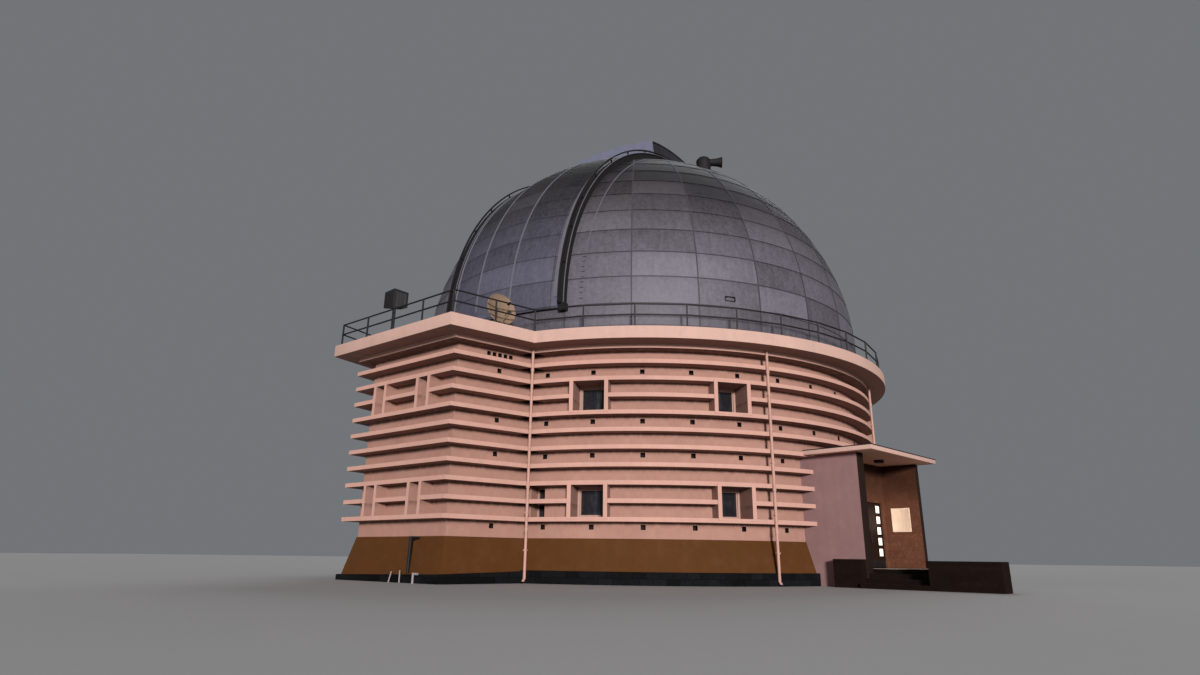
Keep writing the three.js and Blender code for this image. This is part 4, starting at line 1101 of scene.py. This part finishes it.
class OBSERVATORY_OT_shutters(ObservatoryStep):
    """Builds the lower shutter and the hooded upper shutter with their guide shoes"""
    bl_idname = "observatory.shutters"
    bl_label = "Shutters"

    def sheet(self, name, radius, start, end, step):
        """Crowned strip across the slit, from one angle up to another."""
        piece = begin(name, bpy.ops.mesh.primitive_circle_add, vertices=240, radius=radius,
                      location=CENTRE, fill_type="NOTHING")
        with Bench(piece) as bench:
            for place, normal in (((LEAF_HALF, 0, CENTRE.z), (1, 0, 0)),
                                  ((-LEAF_HALF, 0, CENTRE.z), (-1, 0, 0)),
                                  ((0, 0, CENTRE.z), (0, 1, 0))):
                bench.slice(place, normal, clear_outer=True)
            bench.pick("EDGE")
            bench.spin(round(end / step), end, CENTRE, (1, 0, 0))
            bench.tidy()
            if start > 0:
                edge = math.radians(start - step * 0.1)
                bench.pick("FACE", lambda f: math.atan2(middle(f).z - CENTRE.z,
                                                        -middle(f).y) < edge)
                bpy.ops.mesh.delete(type="FACE")
            if any(f.normal.dot(middle(f) - CENTRE) < 0 for f in bench.parts("FACE")):
                bench.pick("FACE")
                bpy.ops.mesh.flip_normals()
        return piece

    def shoes(self, angles, out):
        """Guide shoes beside the arches."""
        found = []
        for sign in (-1, 1):
            across = sorted((sign * 2.66, sign * 2.7196))
            one = block("shoe", 0, out, across, (CENTRE.z, CENTRE.z + 0.27), 0.01)
            found += spread_out(one, [about(CENTRE, -angle, "X") for angle in angles])
        return found

    def lower(self):
        piece = self.sheet("lower_shutter_leaf_sheet", LEAF_RADIUS, 0, LEAF_TOP, 1.5)
        with Bench(piece) as bench:
            bench.pick("EDGE", lambda e: e.is_boundary and middle(e).z < CENTRE.z + 0.001)
            bench.extrude((0, 0, -0.16))
        modify(piece, "SOLIDIFY", thickness=LEAF_SKIN, offset=-1.0)
        shoes = self.shoes((4, 28, 52, 74), (9.70, 9.76))
        piece = swing(joined("shutter_lower", [piece] + shoes), SLIT)
        fix(piece, "shutter", "lower_shutter_leaf", "dome_sheet", "lower_shutter", degrees=20)

    def strips(self):
        """Pale cover strips that run up the lower shutter."""
        found = []
        for low, high, thick in ((-1.13, -1.07, 0.022), (0.62, 0.68, 0.022),
                                 (-2.65, -2.57, 0.04), (2.50, 2.65, 0.04)):
            crown = math.sqrt(LEAF_RADIUS ** 2 - max(abs(low), abs(high)) ** 2)
            found.append(arc_bar("strip", (low, high), (crown - 0.03, crown + thick), 76, 50, 1.6))
        piece = swing(joined("shutter_strips", found), SLIT)
        fix(piece, "flashing", "lower_shutter_leaf", "dome_sheet", degrees=25)

    def hood(self):
        piece = self.sheet("hood", HOOD_RADIUS, HOOD_START, HOOD_END, 1.75)
        inward = HOOD_FOOT / HOOD_RADIUS
        with Bench(piece) as bench:
            bench.pick_rim()
            bench.extrude()
            bench.scale((1, inward, inward), CENTRE)
        modify(piece, "SOLIDIFY", thickness=LEAF_SKIN, offset=-1.0)
        rims = [arc_bar("rim", across, (10.56, 10.62), HOOD_END - HOOD_START, 22, HOOD_START)
                for across in ((-2.72, -2.64), (2.64, 2.72))]
        shoes = self.shoes((76, 92, 109), (9.77, 9.86))
        piece = swing(joined("shutter_hood", [piece] + rims + shoes), SLIT)
        a = math.radians(HOOD_START)
        front = plan(SLIT, math.sin(a), 0, -math.cos(a))
        fix(piece, "shutter hood", "upper_shutter_leaf", "dome_sheet", "upper_shutter",
            degrees=20, choose=lambda f: f.normal.dot(front) > 0.9)

    def build(self, sizes, colours):
        self.lower()
        self.strips()
        self.hood()


class OBSERVATORY_OT_cowl(ObservatoryStep):
    """Builds the vent cowl with its flared horn on the dome's shoulder"""
    bl_idname = "observatory.cowl"
    bl_label = "Vent cowl"

    PROFILE = ((0.0, 18.80), (0.10, 18.795), (0.2, 18.765), (0.28, 18.70), (0.33, 18.6),
               (0.345, 18.59), (0.345, 18.55), (0.33, 18.54), (0.33, 17.7), (0.0, 17.7))
    FLARE = ((0.5, 1), (0.64, 1.06), (0.76, 1.16), (0.86, 1.28), (0.94, 1.41), (1.0, 1.53))
    LENGTH = 0.85

    def build(self, sizes, colours):
        at = plan(38, 5.0, 0, 18.53)
        horn = begin("cowl_horn", bpy.ops.mesh.primitive_cylinder_add, vertices=32, radius=0.17,
                     depth=self.LENGTH, location=at + Vector((self.LENGTH / 2, 0, 0)),
                     rotation=(0, math.pi / 2, 0))
        with Bench(horn) as bench:
            for share, _ in self.FLARE[:-1]:
                bench.slice(at + Vector((self.LENGTH * share, 0, 0)), (1, 0, 0))
            for share, grow in self.FLARE[1:]:
                place = at.x + self.LENGTH * share
                bench.pick("VERT", lambda v: abs(v.co.x - place) < 0.002)
                bench.scale((1, grow, grow), at)
            bench.pick("FACE", lambda f: f.normal.x > 0.99 and middle(f).x > at.x + 0.84)
            bench.inset(0.025)
            bench.extrude((-0.3, 0, 0))
            bench.scale((1, 0.66, 0.66), at)
        piece = carve(lathe("cowl_drum", self.PROFILE, at), horn, "UNION")
        piece.name = piece.data.name = "vent_cowl"
        fix(piece, "arch steel", "turning_dome", "dome_sheet", "roof_cowl", degrees=35,
            choose=lambda f: f.normal.x > 0.6 and 0.4 < f.center.x - at.x < 0.7)


class OBSERVATORY_OT_windows(ObservatoryStep):
    """Builds the window frames and dresses the glass behind them"""
    bl_idname = "observatory.windows"
    bl_label = "Windows"

    def build(self, sizes, colours):
        dress("glass", "glass_upper", "glass_lower")
        inner = sizes.drum_radius - sizes.wall
        depth = math.sqrt(inner ** 2 - WINDOW_HALF ** 2)
        face = ANNEX_END - sizes.wall
        for name, row in zip(("upper", "lower"), WINDOW_ROWS):
            sill, top = opening(sizes, row)
            parts = []
            for azimuth in WINDOW_AZIMUTHS:
                parts += [
                    picture_frame("frame", azimuth, (depth, depth + 0.09),
                                  around(0, WINDOW_HALF - 0.001), (sill, top)),
                    picture_frame("sash", azimuth, (depth + 0.004, depth + 0.05),
                                  around(0, 0.464), (sill + 0.075, top - 0.075), 0.035)]
            for side in SLOT_SIDES:
                parts.append(picture_frame("frame", ANNEX_AZIMUTH, (face, face + 0.07),
                                           around(side, SLOT_HALF - 0.001), (sill, top), 0.05))
            if name == "lower":
                parts.append(picture_frame("frame", NARROW_AZIMUTH, (inner, inner + 0.07),
                                           around(0, NARROW_HALF - 0.001), (sill, top), 0.05))
            fix(joined(f"window_frames_{name}", parts), "frame", "building", "ribbed_render")


class OBSERVATORY_OT_porch(ObservatoryStep):
    """Builds the canopy and the trim of the porch, and dresses its walls and steps"""
    bl_idname = "observatory.porch"
    bl_label = "Porch"

    def canopy(self, sizes):
        """The slab over the porch, its felt, and the lamp under it."""
        rib_face = sizes.drum_radius + sizes.rib_reach + GAP
        slab = block("canopy_slab", PORCH, (8, 12.45), around(0, 2.64), (4.2904, 4.4304), 0.008)
        with Bench(slab) as bench:
            bench.pick("FACE", looks_down)
            bench.inset(0.07)
            bench.shift((0, 0, 0.018))
        felt = block("canopy_felt", PORCH, (8, 12.462), around(0, 2.652), (4.4314, 4.462), 0.006)
        for piece in (slab, felt):
            carve(piece, disc("core", rib_face, 4, 5))
        # The underside gets the bright cream finish, which is painted lamplight.
        fix(slab, "slab ceiling", "building", "slab_render", "porch_canopy",
            choose=lambda f: f.normal.z < -0.9)
        fix(felt, "steel", "building", "dark_steel")
        lamp = disc("soffit_lamp", 0.17, 4.215, 4.305, 32, plan(PORCH, 11.3, 0.4))
        with Bench(lamp) as bench:
            bench.pick("FACE", looks_down)
            bench.inset(0.03)
            bench.shift((0, 0, 0.02))
        fix(lamp, "steel lens", "building", "dark_steel",
            choose=lambda f: looks_down(f) and f.area > 0.02)

    def plaque(self):
        """The blank plate beside the door, with a bolt in each corner."""
        plate = block("plaque_plate", PORCH, (10.74, 11.44), (2.2546, 2.2796), (1.86, 2.72), 0.003)
        face = plan(PORCH, 0, -1)
        with Bench(plate) as bench:
            bench.pick("FACE", lambda f: f.normal.dot(face) > 0.99 and f.calc_area() > 0.3)
            bench.inset(0.035)
            bench.inset(0.012, -0.006)
        bolts = [begin("bolt", bpy.ops.mesh.primitive_uv_sphere_add, segments=12, ring_count=8,
                       radius=0.014, location=plan(PORCH, out, 2.2546, z))
                 for out in (10.775, 11.405) for z in (1.895, 2.685)]
        fix(joined("plaque", [plate] + bolts), "brass", "building", "plaque_brass", "wall_plaque")

    def build(self, sizes, colours):
        self.canopy(sizes)
        for name, out, right in (("end_strip_left", (11.71, 11.722), (-2.2, -1.74)),
                                 ("end_strip_right", (11.81, 11.822), (2.28, 2.5))):
            strip = block(name, PORCH, out, right, (0.004, 4.29), 0.003)
            fix(strip, "porch_end", "building", "brown_stone")
        paving = block("landing_paving", PORCH, (11.64, 13.84), (-1.745, 2.27),
                       (FLOOR + GAP, FLOOR + 0.0104), 0.003)
        fix(paving, "paving", "building", "slab_render")
        self.plaque()
        dress("porch", "porch_left_wall")
        dress("stone", "porch_right_wall", "entrance_wall")
        dress("dark_stone", "entrance_steps", "step_wall_right", "side_planter")


class OBSERVATORY_OT_doors(ObservatoryStep):
    """Builds the glazing, bars and furniture of the two door leaves"""
    bl_idname = "observatory.doors"
    bl_label = "Doors"

    FRONT = 10.45
    PANES = 5
    PANE_START = 0.992
    PANE_PITCH = 0.386
    PANE_HALF = 0.164

    def glazing(self, centre):
        """The panes of a leaf in their beads, one above the other."""
        panes, beads = [], []
        for step in range(self.PANES):
            low = self.PANE_START + self.PANE_PITCH * step
            panes.append(block("pane", PORCH, (self.FRONT - 0.021, self.FRONT - 0.012),
                               around(centre, self.PANE_HALF), (low + 0.001, low + 0.259), 0.003))
            beads.append(picture_frame("bead", PORCH, (self.FRONT - 0.02, self.FRONT + 0.012),
                                       around(centre, self.PANE_HALF + 0.021),
                                       (low - 0.02, low + 0.28), 0.022))
        return panes, beads

    def furniture(self, hinge, inner):
        """Kick plate, pull handle on its stays, and the knuckles of the hinge."""
        kick = sorted((hinge + math.copysign(0.06, inner - hinge), inner))
        found = [block("kick", PORCH, (self.FRONT - 0.002, self.FRONT + 0.006), kick,
                       (0.62, 0.86), 0.002),
                 disc("handle", 0.014, 1.44, 1.86, 16, plan(PORCH, self.FRONT + 0.06, inner))]
        for z in (1.48, 1.82):
            found.append(block("stay", PORCH, (self.FRONT - 0.002, self.FRONT + 0.06),
                               around(inner, 0.01), around(z, 0.01)))
        for z in (0.9, 1.75, 2.6):
            found.append(disc("knuckle", 0.014, z - 0.06, z + 0.06, 14,
                              plan(PORCH, self.FRONT + 0.004, hinge)))
        return found

    def build(self, sizes, colours):
        dress("door", "door_leaf_left", "door_leaf_right")
        for name, centre, hinge, inner, glass in (("left", 0.0, -0.28, 0.80, "glass"),
                                                  ("right", 1.75, 2.03, 0.95, "lit")):
            body = f"{name}_door"
            panes, beads = self.glazing(centre)
            fix(joined(f"door_glass_{name}", panes), glass, body, "window_glass")
            trim = joined(f"door_trim_{name}", beads + self.furniture(hinge, inner))
            fix(trim, "steel", body, "dark_steel")


class OBSERVATORY_OT_pipes(ObservatoryStep):
    """Builds the rain pipes with their collars, clamps and shoes, and the annex's foot pipes"""
    bl_idname = "observatory.pipes"
    bl_label = "Rain pipes"

    RADIUS = 0.048
    COLLARS = (7.0, 5.0, 3.0, 1.62)
    COLLAR = 0.11
    CLAMPS = (6.2, 3.9, 2.2, 1.0)

    def rain_pipe(self, name):
        low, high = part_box(name)
        at = (low + high) / 2
        away, azimuth = at.xy.normalized(), azimuth_of(at)
        pipe = disc(name + "_tube", self.RADIUS, 0.16, high.z, 24, at)
        with Bench(pipe) as bench:
            for z in self.COLLARS:
                bench.slice((at.x, at.y, z), (0, 0, 1))
                bench.slice((at.x, at.y, z + self.COLLAR), (0, 0, 1))
            bench.pick("FACE", lambda f: upright(f) and any(
                z < middle(f).z < z + self.COLLAR for z in self.COLLARS))
            bench.extrude()
            bench.scale((1.28, 1.28, 1), (at.x, at.y, 0))
            bench.pick("FACE", lambda f: looks_down(f) and middle(f).z < 0.2)
            for _ in range(4):
                bench.extrude((away.x * 0.022, away.y * 0.022, -0.024))
        clamps = [block("clamp", azimuth, around(at.xy.length, 0.055), around(0, 0.062),
                        (z, z + 0.045), 0.004) for z in self.CLAMPS]
        fix(joined(name + "_run", [pipe] + clamps), "pipe", "building", "pipe_paint", name,
            degrees=35)

    def foot_pipes(self, name, finish, slot, runs):
        """Pipes at the foot of the annex end, each from one point to another."""
        parts = [tube(plan(ANNEX_AZIMUTH, *start), plan(ANNEX_AZIMUTH, *end), radius)
                 for start, end, radius in runs]
        fix(joined(name, parts), finish, "building", slot, degrees=35)

    def build(self, sizes, colours):
        for name in ("rain_pipe_left", "rain_pipe_right", "rain_pipe_far_right"):
            self.rain_pipe(name)
        self.foot_pipes("foot_vent", "railing", "dark_steel", (
            ((12.87, 0.37, 0.30), (12.87, 0.40, 1.40), 0.05),
            ((12.50, 0.40, 1.36), (12.90, 0.40, 1.36), 0.045)))
        self.foot_pipes("foot_pipes", "standpipe", "pipe_paint", (
            ((13.02, 0.85, 0.0), (13.02, 0.85, 0.31), 0.035),
            ((13.02, 0.83, 0.28), (12.985, 1.03, 0.28), 0.035),
            ((13.00, 0.16, 0.0), (13.00, 0.15, 0.37), 0.022),
            ((13.02, -0.37, 0.0), (13.00, -0.28, 0.33), 0.022)))


class OBSERVATORY_OT_roof_gear(ObservatoryStep):
    """Builds the dish aerial and the floodlight on the annex deck"""
    bl_idname = "observatory.roof_gear"
    bl_label = "Dish and floodlight"

    DISH_AT = Vector((-4.770, -10.670, 0))
    DISH_AZIMUTH = 45
    DISH_TILT = math.radians(10)
    DISH_RADIUS = 0.57
    DISH_DEPTH = 0.13
    PLATE = (SLAB_TOP + GAP, SLAB_TOP + 0.03)
    FLOOD_OUT = 13.33
    FLOOD_RIGHT = -1.1
    FLOOD_Z = SLAB_TOP + 1.30

    def bowl(self):
        """Bowl drawn ring by ring towards its middle."""
        depth = self.DISH_DEPTH
        bowl = begin("bowl", bpy.ops.mesh.primitive_circle_add, vertices=64,
                     radius=self.DISH_RADIUS, location=(0, 0, depth), fill_type="NOTHING")
        with Bench(bowl) as bench:
            bench.pick("EDGE")
            last = 1.0
            for share in (0.88, 0.74, 0.6, 0.45, 0.3, 0.15):
                bench.extrude((0, 0, depth * (share ** 2 - last ** 2)))
                bench.scale((share / last, share / last, 1))
                last = share
            bench.extrude((0, 0, -depth * last ** 2))
            bpy.ops.mesh.merge(type="CENTER")
            bench.tidy()
            if bench.parts("FACE")[0].normal.z < 0:
                bpy.ops.mesh.flip_normals()
        return modify(bowl, "SOLIDIFY", thickness=0.028, offset=-1.0)

    def dish(self):
        """The bowl on its post, with the feed in front of it on an arm."""
        rim = begin("rim", bpy.ops.mesh.primitive_torus_add,
                    location=(0, 0, self.DISH_DEPTH - 0.01), major_radius=0.563,
                    minor_radius=0.016, major_segments=64, minor_segments=8)
        low = 0.93
        root = Vector((0, -self.DISH_RADIUS * low, self.DISH_DEPTH * low ** 2 - 0.015))
        head = Vector((0, 0, root.z + 0.49))
        arm = rod("arm", root, head, 0.014, 12)
        horn = disc("horn", 0.045, head.z - 0.09, head.z + 0.05, 20)
        with Bench(horn) as bench:
            bench.pick("FACE", looks_down)
            bench.inset(0.008)
            bench.shift((0, 0, 0.03))
        back = disc("back", 0.13, -0.07, -0.02, 20)
        up = plan(self.DISH_AZIMUTH, math.cos(self.DISH_TILT), 0, math.sin(self.DISH_TILT))
        right = plan(self.DISH_AZIMUTH, 0, 1)
        turn = Matrix((right, up.cross(right), up)).transposed().to_4x4()
        turn.translation = self.DISH_AT + Vector((0, 0, SLAB_TOP + 0.68))
        turned = [settle(piece, turn) for piece in (self.bowl(), rim, arm, horn, back)]
        at = self.DISH_AT - plan(self.DISH_AZIMUTH, 0.055)
        post = disc("post", 0.035, SLAB_TOP, SLAB_TOP + 0.70, 20, at)
        plate = block("plate", azimuth_of(at), around(at.xy.length, 0.12), around(0, 0.12),
                      self.PLATE, 0.004)
        feed = turn @ head
        fix(joined("dish_bowl", turned + [post, plate]), "dish steel", "building", "dish_paint",
            "dish_antenna", degrees=35,
            choose=lambda f: (f.center - feed).length < 0.13 or f.center.z < SLAB_TOP + 0.2)

    def floodlight(self):
        """A box with uneven corners, glazed on the face that looks forward, on a mast."""
        at = plan(ANNEX_AZIMUTH, self.FLOOD_OUT, self.FLOOD_RIGHT, self.FLOOD_Z)
        side = 0.4
        reach_out = side / 2 * math.sqrt(2)
        corners = (((-1, 0), (-0.41, 0.10), 0.8), ((0, -1), (0.02, -0.14), 1.0),
                   ((1, 0), (0.46, 0.12), 0.75), ((0, 1), (0.13, 0.36), 0.7))
        glass = Vector((0.26, -0.44, 0)).normalized()
        dark = Vector((-0.24, -0.43, 0)).normalized()
        box = begin("box", bpy.ops.mesh.primitive_cube_add, size=side, location=at,
                    rotation=(0, 0, math.radians(45)))
        with Bench(box) as bench:
            for start, end, share in corners:
                for sign in (-1, 1):
                    spot = at + Vector((start[0] * reach_out, start[1] * reach_out,
                                        side / 2 * sign))
                    bench.pick("VERT", lambda v: (v.co - spot).length < 0.02)
                    bench.shift(at + Vector((*end, sign * share * 0.38)) - spot)
            bench.bevel(0.014)
            bench.pick("FACE", lambda f: f.normal.dot(glass) > 0.9 and f.calc_area() > 0.1)
            bench.inset(0.04)
            bench.inset(0.012, -0.025)
            bench.pick("FACE", lambda f: f.normal.dot(dark) > 0.9 and f.calc_area() > 0.1)
            bench.inset(0.05)
            bench.shift(dark * 0.012)
        mast = disc("mast", 0.035, SLAB_TOP, at.z - side / 2, 20, at)
        plate = block("plate", ANNEX_AZIMUTH, around(self.FLOOD_OUT, 0.12),
                      around(self.FLOOD_RIGHT, 0.12), self.PLATE, 0.004)
        fix(joined("flood_lamp", [box, mast, plate]), "arch lens", "building", "dark_steel",
            "floodlight", degrees=30,
            choose=lambda f: f.normal.dot(glass) > 0.97 and f.area > 0.08)

    def build(self, sizes, colours):
        self.dish()
        self.floodlight()


class OBSERVATORY_OT_stage(ObservatoryStep):
    """Sets the floor, the soft lights and the camera"""
    bl_idname = "observatory.stage"
    bl_label = "Stage"

    LIGHTS = (("key", (10, -60, 9), 8, 4.7, (1.0, 0.97, 0.94)),
              ("fill", (-50, -30, 25), 25, 0.15, (0.92, 0.95, 1.0)),
              ("back", (10, 60, 60), 30, 0.8, (0.92, 0.95, 1.0)))
    SKY = (0.80, 0.84, 0.90, 1)
    SKY_STRENGTH = 0.21
    CAMERA_AT = (0, -33.9575, 0.833)
    CAMERA_LENS = 21.6067
    CAMERA_PITCH = math.radians(16.96906)
    CAMERA_ROLL = math.radians(0.690312)

    def placed(self, name, data):
        holder = bpy.data.objects.new(name, data)
        bpy.context.scene.collection.objects.link(holder)
        return holder

    def light(self, name, place, softness, power, tint):
        """Even light from far away, coming from a place towards the building."""
        lamp = bpy.data.lights.new(name, "SUN")
        lamp.angle, lamp.energy, lamp.color = math.radians(softness), power, tint
        holder = self.placed(name, lamp)
        holder.location = place
        holder.rotation_euler = (-Vector(place)).to_track_quat("-Z", "Y").to_euler()

    def camera(self):
        """The photo's viewpoint, looking up at the building."""
        data = bpy.data.cameras.new("camera")
        data.lens, data.sensor_width, data.sensor_fit = self.CAMERA_LENS, 36.0, "HORIZONTAL"
        data.clip_end = 1000
        pitch, roll = self.CAMERA_PITCH, self.CAMERA_ROLL
        ahead = Vector((-0.0555 * math.cos(pitch), 0.99846 * math.cos(pitch), math.sin(pitch)))
        side = Vector((0.99846, 0.0555, 0))
        above = side.cross(ahead)
        right = math.cos(roll) * side + math.sin(roll) * above
        up = math.cos(roll) * above - math.sin(roll) * side
        holder = self.placed("camera", data)
        holder.matrix_world = Matrix.Translation(self.CAMERA_AT) @ Matrix(
            (right, up, -ahead)).transposed().to_4x4()
        return holder

    def build(self, sizes, colours):
        floor = begin("studio_floor", bpy.ops.mesh.primitive_plane_add, size=400,
                      location=(0, 60, 0))
        with Bench(floor) as bench:
            bench.pick("FACE")
            bpy.ops.mesh.subdivide(number_cuts=3)
        paint(floor, "studio")
        for light in self.LIGHTS:
            self.light(*light)
        scene = bpy.context.scene
        scene.world = bpy.data.worlds.new("studio")
        scene.world.use_nodes = True
        sky = scene.world.node_tree.nodes["Background"]
        sky.inputs[0].default_value = self.SKY
        sky.inputs[1].default_value = self.SKY_STRENGTH
        scene.view_settings.view_transform = "Standard"
        scene.camera = self.camera()


STEPS = (
    OBSERVATORY_OT_finishes, OBSERVATORY_OT_stage, OBSERVATORY_OT_walls, OBSERVATORY_OT_gallery,
    OBSERVATORY_OT_dome, OBSERVATORY_OT_shutters, OBSERVATORY_OT_cowl, OBSERVATORY_OT_windows,
    OBSERVATORY_OT_porch, OBSERVATORY_OT_doors, OBSERVATORY_OT_pipes, OBSERVATORY_OT_roof_gear,
)


class OBSERVATORY_PT_panel(bpy.types.Panel):
    """Lists the steps that build the observatory"""
    bl_idname = "OBSERVATORY_PT_panel"
    bl_label = "Observatory"
    bl_space_type = "VIEW_3D"
    bl_region_type = "UI"
    bl_category = "Observatory"

    def draw(self, context):
        for step in STEPS:
            self.layout.operator(step.bl_idname)
        for group in (context.scene.observatory_sizes, context.scene.observatory_colours):
            for key in group.bl_rna.properties.keys():
                if key not in ("rna_type", "name"):
                    self.layout.prop(group, key)


CLASSES = (ObservatorySizes, ObservatoryColours, *STEPS, OBSERVATORY_PT_panel)


def register():
    for item in CLASSES:
        bpy.utils.register_class(item)
    bpy.types.Scene.observatory_sizes = bpy.props.PointerProperty(type=ObservatorySizes)
    bpy.types.Scene.observatory_colours = bpy.props.PointerProperty(type=ObservatoryColours)


def unregister():
    del bpy.types.Scene.observatory_colours
    del bpy.types.Scene.observatory_sizes
    for item in reversed(CLASSES):
        bpy.utils.unregister_class(item)


def main():
    register()
    for step in STEPS:
        group, name = step.bl_idname.split(".")
        getattr(getattr(bpy.ops, group), name)()
    bpy.context.view_layer.update()


if __name__ == "__main__":
    main()
